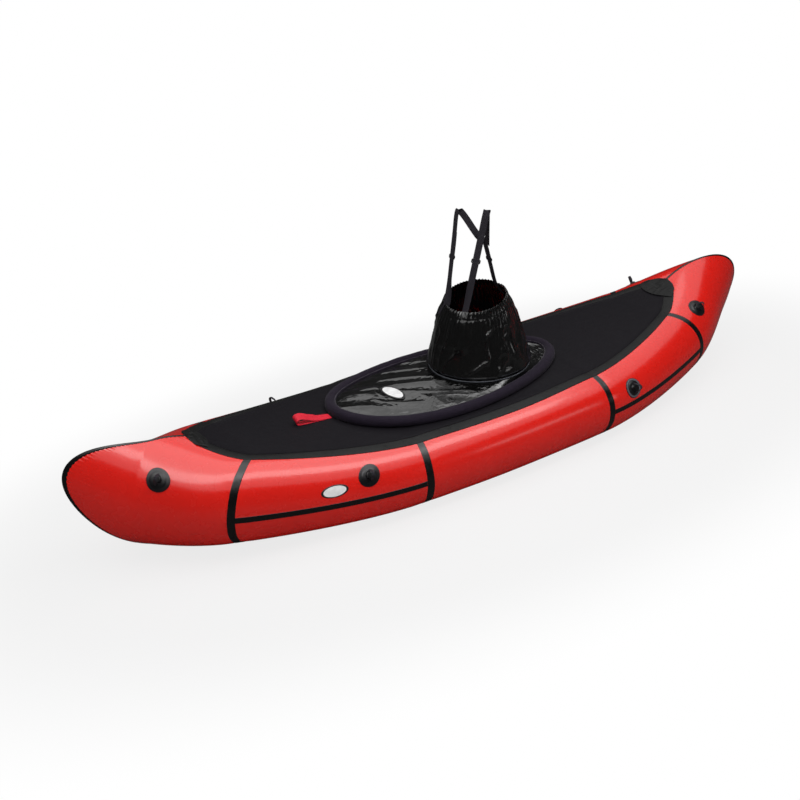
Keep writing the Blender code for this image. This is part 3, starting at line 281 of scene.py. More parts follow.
def sheet_form(outer, inner, wrap_columns=False):
    """A closed sheet between two grids, with strips along its free edges."""
    points, faces, lengths = grid_form(outer, False, wrap_columns)
    count = len(points)
    numbers = np.arange(count).reshape(outer.shape[:2])
    lines = [numbers[0], numbers[-1][::-1]]
    if wrap_columns:
        lines = [closed_line(line) for line in lines]
    else:
        lines += [numbers[::-1, 0], numbers[:, -1]]
    edge = np.concatenate([np.stack([line[:-1], line[1:]], axis=-1) for line in lines])
    strips = np.stack([edge[:, 1], edge[:, 0], edge[:, 0] + count, edge[:, 1] + count], axis=-1)
    all_faces = np.concatenate([faces, faces[:, ::-1] + count, strips])
    no_lengths = np.zeros((len(strips), 4, 2))
    all_lengths = np.concatenate([lengths, lengths[:, ::-1], no_lengths])
    return outward((np.concatenate([points, inner.reshape(-1, 3)]), all_faces, all_lengths))


def tube_form(rings):
    """A solid swept through rings of an even number of points, with quads for its caps."""
    points, faces, lengths = grid_form(rings, False, True)
    rows, columns = rings.shape[:2]
    step = np.arange(columns // 2 - 1)
    cap = np.stack([step, columns - 1 - step, columns - 2 - step, step + 1], axis=-1)
    faces = np.concatenate([faces, cap, cap[:, ::-1] + (rows - 1) * columns])
    lengths = np.concatenate([lengths, np.zeros((2 * len(cap), 4, 2))])
    return outward((points, faces, lengths))


def closed_ring_sheet(section_rings):
    """A form that closes both round its section and round its path."""
    return outward(grid_form(section_rings, True, True))


def plain_mesh(name, points, faces):
    """A mesh from lists of points and faces."""
    mesh = bpy.data.meshes.new(name)
    mesh.from_pydata(points, [], faces)
    return mesh


def shaded(mesh):
    """Shade a mesh smooth, with its sharp edges kept."""
    mesh.shade_smooth()
    mesh.set_sharp_from_angle(angle=SHARP_ANGLE)


def applied(thing):
    """Put the mesh that a thing's modifiers make in place of its own."""
    graph = bpy.context.evaluated_depsgraph_get()
    finished = bpy.data.meshes.new_from_object(thing.evaluated_get(graph))
    thing.modifiers.clear()
    old = thing.data
    thing.data = finished
    bpy.data.meshes.remove(old)


def build(name, form, paint, body="hull", extra_slot=None):
    """One finished piece, on its body.

    It stands for the frame's node of its own name, which it hides, and has the slot of its paint's
    name.
    An extra piece is called with the slot of what it lies on; that is not stored, and only keeps a
    node from being hidden.
    """
    points, faces, lengths = form
    mesh = bpy.data.meshes.new(name)
    mesh.vertices.add(len(points))
    mesh.vertices.foreach_set("co", points.astype(np.float32).ravel())
    mesh.loops.add(faces.size)
    mesh.loops.foreach_set("vertex_index", faces.astype(np.int32).ravel())
    mesh.polygons.add(len(faces))
    mesh.polygons.foreach_set("loop_start", np.arange(0, faces.size, 4, dtype=np.int32))
    layer = mesh.uv_layers.new(name="lengths")
    layer.data.foreach_set("uv", lengths.astype(np.float32).ravel())
    mesh.update(calc_edges=True)
    mesh.validate()
    shaded(mesh)
    mesh.materials.append(paint.material)
    made = added(name, mesh)
    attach(made, body)
    if not extra_slot:
        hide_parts(name)
    return made


def sheet_area(grid, wrap_columns=False):
    """The area of a grid of points."""
    points, faces, _ = grid_form(grid, False, wrap_columns)
    first, second, third, fourth = (points[faces[:, corner]] for corner in range(4))
    crosses = np.cross(third - first, fourth - second)
    return float(np.linalg.norm(crosses, axis=1).sum() / 2)


# %% [markdown]
# ## The hull's shape
#
# Each side tube is a row of circles. A table gives the centre, radius and turn of nine of
# them, and smooth cubics run through the table. A point of the skin is the centre plus the
# radius times the cosine of its turn outward and the sine upward. The tube sinks a little
# at its four ring seams, where the panels' curved edges are drawn together, and it lies
# flat where it rests on the floor.

# %% Work out the side tubes
RIGHT_ANGLE = math.pi / 2
HULL_REACH = 1.460
HULL_BEAM = 0.777
HULL_SHIFT = -0.0125
TUBE_RADIUS = 0.128
END_LIFT = 0.200
TUBE_WALL = 0.0008
FLOOR_TOP = 0.0014
REST_SHARE = math.cos(math.radians(7.5))
PANEL_GAP = 0.0003
TAPE_WIDTH = 0.025
SIDE_TAPE_WIDTH = 0.019
STEM_TAPE_WIDTH = 0.010
SEAM_DIP = 0.0016
SEAM_DIP_SHARE = 0.0085
SMALL_STEP = 1e-4
HALVINGS = 32
LATTICE = 64
# Each station from stern to bow: its place, reach, side, radius, lift and ring turn
STATIONS = np.array((
    (0.00, -1.000, -0.683, 1.121, 1.014, 0.278),
    (0.10, -0.817, -0.166, 1.368, 0.415, 0.459),
    (0.20, -0.626, 0.524, 1.131, 0.143, 0.407),
    (0.35, -0.267, 0.974, 1.000, 0.000, 0.081),
    (0.50, 0.000, 1.000, 1.000, 0.000, 0.030),
    (0.65, 0.257, 0.942, 1.000, 0.000, -0.095),
    (0.80, 0.652, 0.575, 1.142, 0.157, -0.539),
    (0.90, 0.819, -0.269, 1.528, 0.146, -0.431),
    (1.00, 1.000, -0.697, 1.313, 1.153, -0.256),
))
STATION_SIZES = np.stack([
    STATIONS[:, 1] * HULL_REACH + HULL_SHIFT,
    STATIONS[:, 2] * (HULL_BEAM / 2 - TUBE_RADIUS),
    STATIONS[:, 4] * END_LIFT + FLOOR_TOP + STATIONS[:, 3] * TUBE_RADIUS * REST_SHARE,
    STATIONS[:, 3] * TUBE_RADIUS,
    STATIONS[:, 5] * RIGHT_ANGLE,
], axis=-1)
STERN_JOINT, AFT_JOINT, FORE_JOINT, BOW_JOINT = STATIONS[[2, 3, 5, 6], 0].tolist()
JOINTS = (("stern", STERN_JOINT), ("aft", AFT_JOINT), ("forward", FORE_JOINT), ("bow", BOW_JOINT))


def through(knots, values, place):
    """A smooth curve through values at knots that never swings past them.

    Each piece is a cubic whose end slopes are the harmonic mean of the slopes on either
    side, or zero where those differ in sign.
    """
    knots, values, place = (np.asarray(item, dtype=float) for item in (knots, values, place))
    steps = np.diff(knots)[:, None]
    secants = np.diff(values, axis=0) / steps
    before, after = secants[:-1], secants[1:]
    same = before * after > 0
    safe_before = np.where(same, before, 1.0)
    safe_after = np.where(same, after, 1.0)
    middle = np.where(same, 2 / (1 / safe_before + 1 / safe_after), 0.0)
    slopes = np.concatenate([secants[:1], middle, secants[-1:]])
    index = np.clip(np.searchsorted(knots, place, side="right") - 1, 0, len(steps) - 1)
    step = steps[index]
    share = ((place - knots[index]) / step[..., 0])[..., None]
    square, cube = share**2, share**3
    return (
        values[index] * (2 * cube - 3 * square + 1)
        + slopes[index] * step * (cube - 2 * square + share)
        + values[index + 1] * (3 * square - 2 * cube)
        + slopes[index + 1] * step * (cube - square)
    )


def station(place):
    """x, y, z, radius and ring turn of the port tube at places along it."""
    return through(STATIONS[:, 0], STATION_SIZES, place)


def station_change(place):
    """How the station changes over a small step either way of a place."""
    return station(place + SMALL_STEP) - station(place - SMALL_STEP)


def place_length(place):
    """How far the tube's centre line moves for a unit of place, there."""
    return np.linalg.norm(station_change(place)[..., :3], axis=-1) / (2 * SMALL_STEP)


def tube_at(place):
    """Centre, outward and upward vectors, and radius of the port tube at a place."""
    here = station(place)
    change = station_change(place)
    climb = change[..., 2] / np.hypot(change[..., 0], change[..., 1])
    level = 1 / np.hypot(1, climb)
    turn = here[..., 4]
    along = np.stack([np.cos(turn) * level, np.sin(turn) * level, climb * level], axis=-1)
    outward_way = np.stack([-np.sin(turn), np.cos(turn), np.zeros_like(turn)], axis=-1)
    return here[..., :3], outward_way, np.cross(along, outward_way), here[..., 3]


def skin(place, turn, lift=0.0):
    """A point of the port tube's skin: place along it, turn round it, lift off it."""
    place, turn, lift = np.broadcast_arrays(
        np.asarray(place, dtype=float), np.asarray(turn, dtype=float), lift)
    centre, outward_way, upward, radius = tube_at(place)
    dip = sum(np.exp(-((place - joint) / SEAM_DIP_SHARE) ** 2) for _, joint in JOINTS)
    full = radius - SEAM_DIP * dip
    rise = np.maximum(full * np.sin(turn), -radius * REST_SHARE) + lift * np.sin(turn)
    reach = (full + lift) * np.cos(turn)
    return centre + reach[..., None] * outward_way + rise[..., None] * upward


def halved(near, far, inside):
    """Both ends of a span, halved again and again down to where inside stops being true."""
    for _ in range(HALVINGS):
        middle = (near + far) / 2
        held = inside(middle)
        near = np.where(held, middle, near)
        far = np.where(held, far, middle)
    return near, far


def keel_place(turns, toward_bow, side, lift=0.0):
    """The place where each lengthwise line of a nose reaches a distance from the keel."""
    start = np.full(len(turns), BOW_JOINT if toward_bow else STERN_JOINT)
    end = np.full(len(turns), 1.0 if toward_bow else 0.0)
    near, far = halved(start, end, lambda place: skin(place, turns, lift)[:, 1] > side)
    return (near + far) / 2


def mirrored(points, port):
    """The points themselves to port, or their mirror image to starboard."""
    return points if port else points * np.array([1.0, -1.0, 1.0])


def lattice_noise(first, second, seed):
    """Smooth noise from -1 to 1: random lattice corners, blended by a smooth step."""
    values = np.random.default_rng(seed).uniform(-1, 1, (LATTICE, LATTICE))
    row = np.floor(first).astype(int)
    column = np.floor(second).astype(int)
    along, across = first - row, second - column
    along = along**2 * (3 - 2 * along)
    across = across**2 * (3 - 2 * across)
    row, column = row % LATTICE, column % LATTICE
    next_row, next_column = (row + 1) % LATTICE, (column + 1) % LATTICE
    near = values[row, column] * (1 - along) + values[next_row, column] * along
    far = values[row, next_column] * (1 - along) + values[next_row, next_column] * along
    return near * (1 - across) + far * across


centre_line = station(np.linspace(0.1, 0.9, 400))[:, None, :3]
print("tube length", round(float(line_lengths(centre_line)[-1, 0]), 3))

# %% [markdown]
# ## Materials
#
# The hull is coated nylon: saturated red under a smooth, slightly uneven film. The deck is
# matte, the skirt is wetter and glossier, and the tapes lie between them. Weaves are a few
# hundredths of a millimetre high, so they are relief only.

# %% Mix the materials
def surface(name, colour, roughness, lumps, weave=None, tint=None, extra=None, **finish):
    """A material whose roughness and tint vary in patches, with a weave and soft lumps.

    roughness is lumps to the metre, spread and least value; each of the lumps is lumps to
    the metre, detail and millimetres; weave is millimetres and threads to the metre; tint
    is lumps to the metre, a dark and a light colour; extra adds more millimetres.
    """
    patches, spread, least = roughness
    paint = Paint(name, colour, least + spread / 2, **finish)
    spot = paint.spot()
    if tint:
        paint.feed("Base Color", paint.mixed(paint.noise(spot, tint[0], 3.0), *tint[1:]))
    paint.feed("Roughness", paint.noise(spot, patches, 3.0) * spread + least)
    heights = [paint.noise(spot, scale, detail) * height for scale, detail, height in lumps]
    if weave:
        heights.append(paint.ribs(weave[1], weave[1]) * weave[0])
    if extra:
        heights.append(extra(paint, spot))
    total = heights[0]
    for height in heights[1:]:
        total = total + height
    paint.relief(total)
    return paint


def deck_creases(paint, spot):
    """Soft creases of the deck that run along the boat."""
    return paint.noise(paint.stretched(spot, (9.0, 34.0, 9.0)), 1.0, 3.0) * 1.6


def film_puckers(paint, spot):
    """Patches of short cross wrinkles in the weld film."""
    patch = paint.between(paint.noise(spot, 8.0, 1.0), 0.48, 0.66)
    lines = paint.noise(paint.stretched(spot, (210.0, 60.0, 60.0)), 1.0, 2.0)
    return paint.between(lines, 0.52, 0.72) * patch * 0.9


def skirt_crumples(paint, spot):
    """Small sharp crumples of the skirt's thin cloth."""
    cells = paint.node("ShaderNodeTexVoronoi", {"feature": "DISTANCE_TO_EDGE"}, {
        "Vector": paint.stretched(spot, (26.0, 34.0, 26.0)), "Scale": 1.0})
    return paint.between(cells, 0.0, 0.16) * 0.30 + paint.noise(spot, 70.0, 3.0, 0.6) * 0.22


def webbing(name, dark, light, roughness):
    """Woven strap: ribs across it and a soft grain."""
    paint = Paint(name, dark, roughness, Specular_IOR_Level=0.2)
    ribs = paint.ribs(520.0, 330.0)
    grain = paint.noise(paint.spot(), 240.0, 2.0)
    paint.feed("Base Color", paint.mixed(ribs * 0.25 + grain * 0.8, dark, light))
    paint.feed("Roughness", grain * 0.15 + (roughness - 0.08))
    paint.relief(ribs * 0.09 + grain * 0.12)
    return paint


def moulded(name, colour, roughness, grain):
    """Moulded plastic or rubber with a fine grain and a little wear."""
    worn = tuple(value * 1.6 for value in colour)
    return surface(name, colour, (70.0, 0.2, roughness - 0.1), ((900.0, 2.0, grain),),
                   tint=(70.0, colour, worn), Specular_IOR_Level=0.45)


def plain_cloth(name, dark, light):
    """Heavy plain cloth for the floor and the air cushions."""
    return surface(name, dark, (60.0, 0.15, 0.48), ((40.0, 2.0, 0.4),), (0.03, 500.0),
                   (25.0, dark, light), Specular_IOR_Level=0.4)


HULL_RED = surface(
    "red_hull_cloth", (0.84, 0.008, 0.002), (22.0, 0.10, 0.22),
    ((14.0, 2.0, 0.50), (120.0, 3.0, 0.012)), (0.006, 900.0),
    (5.0, (0.80, 0.007, 0.002), (0.88, 0.010, 0.003)), Coat_Weight=0.6, Coat_Roughness=0.12)
TAPE_BLACK = surface(
    "black_seam_tape", (0.004, 0.004, 0.004), (60.0, 0.12, 0.17), ((90.0, 2.0, 0.25),),
    (0.02, 620.0), Specular_IOR_Level=0.5)
DECK_BLACK = surface(
    "black_deck_cloth", (0.006, 0.005, 0.007), (30.0, 0.2, 0.5), ((70.0, 3.0, 0.35),),
    (0.015, 700.0), extra=deck_creases, Specular_IOR_Level=0.10)
WELD_FILM = surface(
    "weld_band_film", (0.005, 0.005, 0.005), (60.0, 0.25, 0.30), ((45.0, 2.0, 0.5),),
    (0.01, 800.0), (40.0, (0.004, 0.004, 0.004), (0.010, 0.010, 0.010)),
    extra=film_puckers, Specular_IOR_Level=0.17)
SKIRT_BLACK = surface(
    "wet_black_skirt_cloth", (0.003, 0.003, 0.003), (50.0, 0.10, 0.10), (), (0.004, 900.0),
    extra=skirt_crumples, Specular_IOR_Level=0.6, Coat_Weight=0.6, Coat_Roughness=0.07)
RIM_BLACK = surface(
    "rim_foam", (0.013, 0.009, 0.017), (60.0, 0.1, 0.75), ((55.0, 2.0, 0.5),), (0.06, 480.0),
    (60.0, (0.010, 0.007, 0.014), (0.018, 0.012, 0.023)), Specular_IOR_Level=0.12,
    Sheen_Weight=0.05, Sheen_Roughness=0.5)
STRAP_BLACK = webbing("black_webbing", (0.016, 0.014, 0.019), (0.034, 0.031, 0.038), 0.80)
TAB_RED = webbing("red_tab_webbing", (0.62, 0.012, 0.030), (0.90, 0.030, 0.060), 0.55)
PLASTIC_BLACK = moulded("black_plastic", (0.007, 0.007, 0.008), 0.34, 0.01)
RUBBER_BLACK = moulded("moulded_rubber", (0.004, 0.004, 0.005), 0.33, 0.01)
RING_GREY = moulded("grey_pad_ring", (0.085, 0.090, 0.105), 0.42, 0.03)
BADGE_WHITE = moulded("white_badge_film", (0.72, 0.72, 0.72), 0.40, 0.01)
BADGE_EDGE = moulded("black_badge_edge", (0.010, 0.010, 0.011), 0.40, 0.01)
THREAD_GREY = moulded("grey_thread", (0.16, 0.15, 0.17), 0.70, 0.05)
FLOOR_CLOTH = plain_cloth("floor_cloth", (0.024, 0.024, 0.026), (0.036, 0.036, 0.038))
SEAT_CLOTH = plain_cloth("seat_cloth", (0.028, 0.028, 0.031), (0.042, 0.042, 0.046))
print("materials", len(bpy.data.materials))

# %% [markdown]
# ## Lights, floor and backdrop
#
# A wide softbox hangs over the boat. Its mirror image is the pale band along the top of
# each tube, and the band's lower edge is the softbox's near edge. Dark cards stand all
# round, out of the camera's sight, and keep the reds and blacks below that band deep. The
# floor is pale and takes the shadow. Away from the boat it turns into plain white for the
# camera, like the world behind it.

# %% Light the studio
# Each lamp's name, centre, the point that it faces, its size, and its radiance in a mirror
LAMPS = (
    ("softbox", (0.2, 0.45, 2.75), (0.2, 0.44, 0.0), (4.8, 2.6), 1.25),
    ("strip", (0.2, 1.30, 2.68), (0.2, 1.29, 0.0), (4.8, 0.9), 2.3),
    ("side_light", (-2.0, 3.2, 0.95), (-0.2, 0.3, 0.15), (1.3, 0.40), 1.6),
)
AMBIENT = 0.28
FLOOR_REACH = 14.0
FLOOR_COLOUR = (0.55, 0.55, 0.55)
FLOOR_WHITE = 0.80
SHADOW_INNER = 1.15
SHADOW_OUTER = 1.9
SHADOW_SCALE = (0.75, 1.5, 1.0)
CARD_COLOUR = (0.10, 0.10, 0.10)
CARD_RADIUS = 4.6
CARD_LOW = 0.002
CARD_TOP = 3.2
CARD_COUNT = 24


def light_lamp(name, centre, aim, size, radiance):
    """A rectangular area light that faces a point."""
    data = bpy.data.lights.new(name, "AREA")
    data.shape = "RECTANGLE"
    data.size, data.size_y = size
    data.energy = radiance * math.pi * size[0] * size[1]
    lamp = added(name, data)
    turn = (Vector(aim) - Vector(centre)).to_track_quat("-Z", "Y").to_matrix().to_4x4()
    lamp.matrix_world = Matrix.Translation(Vector(centre)) @ turn


def seen_directly(nodes):
    """1 for rays from the camera, from a mirror or through glass, and 0 for the others."""
    camera_ray, glossy_ray, glass_ray = (
        nodes.node("ShaderNodeLightPath", {}, {}, f"Is {kind} Ray")
        for kind in ("Camera", "Glossy", "Transmission"))
    return nodes.sum("MAXIMUM", nodes.sum("MAXIMUM", camera_ray, glossy_ray), glass_ray)


def make_world():
    """White where it is seen, and a plain grey light on the boat."""
    world = bpy.data.worlds.new("studio")
    nodes = Nodes(world, "Background")
    nodes.feed("Color", nodes.mixed(seen_directly(nodes), (AMBIENT,) * 3, (1.0,) * 3))
    bpy.context.scene.world = world


def make_floor_plane():
    """A wide pale floor that fades to plain white away from the boat."""
    corners = [(-1, -1), (1, -1), (1, 1), (-1, 1)]
    mesh = plain_mesh("studio_floor", [(x * FLOOR_REACH, y * FLOOR_REACH, 0.0) for x, y in corners],
                      [(0, 1, 2, 3)])
    paint = Paint("studio_floor", FLOOR_COLOUR, 0.9, Specular_IOR_Level=0.1)
    drawn = paint.node("ShaderNodeVectorMath", {"operation": "MULTIPLY"},
                       {0: paint.spot(), 1: SHADOW_SCALE})
    distance = paint.node("ShaderNodeVectorMath", {"operation": "LENGTH"}, {0: drawn}, "Value")
    away = paint.between(distance, SHADOW_INNER, SHADOW_OUTER, FLOOR_WHITE)
    shown = paint.node("ShaderNodeMixShader", {}, {
        0: away * seen_directly(paint), 1: Value(paint, paint.shader.outputs[0]),
        2: paint.node("ShaderNodeEmission", {}, {})})
    output = paint.tree.nodes["Material Output"]
    paint.tree.links.new(shown.socket, output.inputs["Surface"])
    mesh.materials.append(paint.material)
    added("studio_floor", mesh)


def make_cards():
    """Dark cards: a ring of them stands all round, and one lies under the boat."""
    corners, faces = [], []
    for number, turn in enumerate(circle_angles(CARD_COUNT)):
        x, y = CARD_RADIUS * math.cos(turn), CARD_RADIUS * math.sin(turn)
        corners += [(x, y, CARD_LOW), (x, y, CARD_TOP)]
        after = 2 * ((number + 1) % CARD_COUNT)
        faces.append((2 * number, after, after + 1, 2 * number + 1))
    faces.append(tuple(range(0, 2 * CARD_COUNT, 2)))
    mesh = plain_mesh("black_cards", corners, faces)
    mesh.materials.append(Paint("black_card", CARD_COLOUR, 1.0, Specular_IOR_Level=0.0).material)
    cards = added("black_cards", mesh)
    cards.visible_camera = False
    cards.visible_diffuse = False
    cards.visible_shadow = False


bpy.context.scene.view_settings.view_transform = "Standard"
for lamp_row in LAMPS:
    light_lamp(*lamp_row)
make_world()
make_floor_plane()
make_cards()
print("lights", [lamp.name for lamp in bpy.data.lights])

# %% [markdown]
# ## Hull panels
#
# Each side tube is sewn from five panels. Along its curved ends the cloth gathers a little:
# short waves run in from each ring seam and die out within a few centimetres. The bow
# panels are drawn together hardest, along the stem, where puckers stand up beside the tape.

# %% Build the side tubes
TURN_COUNT = 144
SEAM_WAVE = 0.0005
SEAM_WAVE_REACH = 0.018
SEAM_WAVE_COUNT = 34
STEM_PUCKER = 0.0016
STEM_PUCKER_PITCH = 0.0135
STEM_PUCKER_REACH = 0.018
PUCKER_START = 0.006
SIDES = (("port", True), ("starboard", False))
PANELS = (
    ("aft_tube", STERN_JOINT, AFT_JOINT, 70),
    ("mid_tube", AFT_JOINT, FORE_JOINT, 110),
    ("forward_tube", FORE_JOINT, BOW_JOINT, 70),
)
# Each end's joint, its lines round the nose, its rows, and the sign of the way to its tip
NOSES = {True: (BOW_JOINT, 420, 56, 1), False: (STERN_JOINT, 220, 44, -1)}
END_NAMES = {True: "bow", False: "stern"}


def round_turns(count):
    """Turns right round the tube, starting at its underside."""
    return -RIGHT_ANGLE + 2 * math.pi * (np.arange(count) + 0.5) / count


def on_tube(name, paint, port, outer, inner, wrap_columns=False):
    """A sheet on a side tube, between two layers of places, turns and lifts."""
    layers = [mirrored(skin(*layer), port) for layer in (outer, inner)]
    return build(name, sheet_form(*layers, wrap_columns), paint)


def seam_wave(distance, turns, seed):
    """Height of the gathers at a distance from a ring seam: waves that die away."""
    shift = 2 * lattice_noise(turns * 3.0 + 40.0, 3.5, seed)
    strength = 0.6 + 0.4 * lattice_noise(turns * 2.0 + 20.0, 7.5, seed + 1)
    waves = np.cos(SEAM_WAVE_COUNT * turns + shift)
    return SEAM_WAVE * strength * np.exp(-distance / SEAM_WAVE_REACH) * waves


def panel(name, start, end, rows, port, seed):
    """A sewn panel between two ring seams, with gathers along both ends."""
    first = start + PANEL_GAP / 2 / place_length(start)
    last = end - PANEL_GAP / 2 / place_length(end)
    places = np.linspace(first, last, rows)[:, None]
    turns = round_turns(TURN_COUNT)[None, :]
    lengths = place_length(places)
    lift = seam_wave((places - start) * lengths, turns, seed)
    lift = lift + seam_wave((end - places) * lengths, turns, seed + 2)
    on_tube(name, HULL_RED, port, (places, turns, lift), (places, turns, lift - TUBE_WALL), True)


def stem_puckers(places, turns, seed):
    """Height of the puckers that stand up beside the tape on the stem."""
    plain = skin(places, turns)
    to_stem = line_lengths(plain[::-1])[::-1]
    round_stem = line_lengths(plain[-1][:, None])[:, 0]
    wobble = 1.2 * lattice_noise(round_stem * 18.0, 2.5, seed + 5)
    strength = 0.65 + 0.35 * lattice_noise(round_stem * 30.0, 0.0, seed + 6)
    fade = np.exp(-(to_stem / STEM_PUCKER_REACH) ** 1.6) * np.clip(to_stem / PUCKER_START, 0, 1)
    wave = np.cos(2 * math.pi * round_stem / STEM_PUCKER_PITCH + wobble)
    return STEM_PUCKER * fade * (strength * wave)[None, :]


def nose(side, port, toward_bow, seed):
    """A nose panel: the tube turns inward and is cut off along the keel plane."""
    joint, count, rows, sign = NOSES[toward_bow]
    turns = round_turns(count)
    first = joint + sign * PANEL_GAP / 2 / place_length(joint)
    tip = keel_place(turns, toward_bow, PANEL_GAP / 2)
    shares = 1 - (1 - np.linspace(0, 1, rows)) ** 1.5
    places = first + (tip - first)[None, :] * shares[:, None]
    lift = seam_wave(np.abs(places - joint) * place_length(joint), turns[None, :], seed)
    if toward_bow:
        lift = lift + stem_puckers(places, turns[None, :], seed)
    inner_places = places.copy()
    inner_tip = keel_place(turns, toward_bow, PANEL_GAP / 2, -TUBE_WALL)
    nearer = np.minimum if toward_bow else np.maximum
    inner_places[-1] = nearer(places[-1], inner_tip)
    on_tube(f"{side}_{END_NAMES[toward_bow]}_nose", HULL_RED, port, (places, turns[None, :], lift),
            (inner_places, turns[None, :], lift - TUBE_WALL), True)


for side, port in SIDES:
    for seed, (part_name, start, end, rows) in enumerate(PANELS):
        panel(f"{side}_{part_name}", start, end, rows, port, 11 + 7 * seed + port)
    nose(side, port, True, 51 + port)
    nose(side, port, False, 61 + port)

# %% [markdown]
# ## Tapes
#
# Every seam is covered by a welded tape. Ring tapes go round the tubes, a side tape runs
# along each short panel, and one tape folds over the stem and one over the stern. A tape's
# section is a flat arch: full height in the middle and rounded off at both edges.

# %% Lay the tapes
TAPE_THICKNESS = 0.0010
TAPE_SINK = 0.0003
TAPE_GAP = 0.0004
TAPE_WAVER = 0.0006
TAPE_STEPS = (0.0, 0.02, 0.06, 0.14, 0.3, 0.5, 0.7, 0.86, 0.94, 0.98, 1.0)
TAPE_EDGE_SHARE = 0.08
RING_TAPE_START = -0.86
STEM_STEPS = (1.0, 0.97, 0.9, 0.75, 0.55, 0.35, 0.18, 0.08, 0.0)
STEM_LIFT = 0.0003
STEM_SINK = 0.0001
STEM_SCALLOP = 0.0007
DECK_STERN_SHARE = 0.150
DECK_BOW_SHARE = 0.850
DECK_END_HALF_WIDTH = 0.036
DECK_END_INSET = 0.008
BAND_WIDTH = 0.034
BAND_THICKNESS = 0.0010
BAND_LIFT = 0.0010
BAND_GAP = 0.0005
DECK_LIFT = 0.0016
DECK_THICKNESS = 0.0009
DECK_CROWN = 0.014
DECK_ENDS = {True: DECK_BOW_SHARE, False: DECK_STERN_SHARE}
# The weld band's outer edge: a place along the tube, and its turn in shares of a right angle
DECK_EDGE_SHARES = (
    (0.15, 1.05), (0.20, 0.96), (0.35, 0.80), (0.50, 0.70), (0.65, 0.72), (0.80, 0.97),
    (0.86, 1.02),
)


def deck_edge_turn(place):
    """Turn round the tube of the outer edge of the deck's weld band."""
    table = np.array(DECK_EDGE_SHARES)
    return through(table[:, 0], table[:, 1:], place)[..., 0] * RIGHT_ANGLE


def arch(steps):
    """Height of a tape over its width, as a share: it rises near each edge."""
    edge = np.clip(np.minimum(steps, 1 - np.asarray(steps)) / TAPE_EDGE_SHARE, 0, 1)
    return np.sqrt(np.clip(1 - (1 - edge) ** 2, 0, 1))


def tape(name, port, places, turns, steps):
    """A tape on a side tube, arched over its width."""
    on_tube(name, TAPE_BLACK, port, (places, turns, TAPE_THICKNESS * arch(steps)),
            (places, turns, -TAPE_SINK))


def ring_tape(name, joint, port):
    """A tape round the tube over a ring seam, up to the deck's weld band."""
    edge = float(deck_edge_turn(joint)) - BAND_GAP / TUBE_RADIUS
    turns = np.linspace(RIGHT_ANGLE * RING_TAPE_START, edge, 110)[None, :]
    steps = np.array(TAPE_STEPS)[:, None]
    waver = TAPE_WAVER * lattice_noise(turns * 6 + 9, joint * 50, 5)
    reach = TAPE_WIDTH / 2 * (2 * steps - 1) + waver
    tape(name, port, joint + reach / place_length(joint), turns, steps)


def side_tape(name, start, end, port):
    """A lengthwise tape on the widest line of a short panel, between two ring tapes."""
    inset = TAPE_WIDTH / 2 + TAPE_GAP
    places = np.linspace(start + inset / place_length(start), end - inset / place_length(end), 60)
    steps = np.array(TAPE_STEPS)[None, :]
    turns = SIDE_TAPE_WIDTH / 2 / TUBE_RADIUS * (2 * steps - 1)
    tape(name, port, places[:, None], turns, steps)


def stem_turns(toward_bow):
    """Turns that the stem's tape follows, from the deck round to the floor."""
    share = DECK_ENDS[toward_bow]
    turns = round_turns(720)
    beyond = (keel_place(turns, toward_bow, 0.0) - share) * NOSES[toward_bow][3]
    clear = beyond > TAPE_WIDTH / place_length(share)
    return turns[clear & (turns > -RIGHT_ANGLE) & (turns < 2 * RIGHT_ANGLE)]


def stem_tape(toward_bow):
    """The tape that folds over a stem: lines at growing distances from the keel plane."""
    turns = stem_turns(toward_bow)
    layers = [[], []]
    run = line_lengths(skin(keel_place(turns, toward_bow, 0.0), turns)[:, None])[:, 0]
    wave = STEM_SCALLOP * np.cos(2 * math.pi * run / STEM_PUCKER_PITCH)
    for step in STEM_STEPS:
        scallop = wave * (step - 0.5) * 2 if toward_bow and step > 0.5 else 0.0
        height = STEM_LIFT + TAPE_THICKNESS * float(arch((1 + step) / 2))
        for lines, lift in zip(layers, (height, -STEM_SINK)):
            place = keel_place(turns, toward_bow, STEM_TAPE_WIDTH / 2 * step + scallop, lift)
            lines.append(skin(place, turns, lift))
    grids = [
        np.stack([*lines, *(mirrored(line, False) for line in lines[-2::-1])], axis=1)
        for lines in layers
    ]
    build(f"{END_NAMES[toward_bow]}_seam_tape", sheet_form(*grids), TAPE_BLACK)


for side, port in SIDES:
    for joint_name, joint in JOINTS:
        ring_tape(f"{side}_{joint_name}_ring_tape", joint, port)
    side_tape(f"{side}_aft_side_tape", STERN_JOINT, AFT_JOINT, port)
    side_tape(f"{side}_forward_side_tape", FORE_JOINT, BOW_JOINT, port)
stem_tape(True)
stem_tape(False)

# %% [markdown]
# ## Deck and weld bands
#
# The deck is one sheet that lies on both tubes and crowns a little between them. A dark
# film, the weld band, runs along each edge on the tube, and the deck's edge laps a little
# over it. The egg-shaped cockpit is cut out of the deck with a solid of that outline.

# %% Build the deck
COCKPIT_CENTRE = 0.0555
COCKPIT_HALF_LENGTH = 0.460
COCKPIT_HALF_WIDTH = 0.235
EGG_SHARE = 0.095
COAMING_RADIUS = 0.011
CREST_START = math.radians(5)
CUTTER_TOP = 0.6


def turn_at_side(places, side, lift):
    """The turn over the top of the tube at which it comes within a distance of the keel."""
    start = np.full(len(places), RIGHT_ANGLE / 2)
    return halved(start, start * 4, lambda turn: skin(places, turn, lift)[:, 1] > side)[0]


def band_end_turn(places):
    """Turn round the tube of the inner edge of the weld band."""
    wanted = deck_edge_turn(places) + BAND_WIDTH / TUBE_RADIUS
    return np.minimum(wanted, turn_at_side(places, DECK_END_HALF_WIDTH, BAND_LIFT))


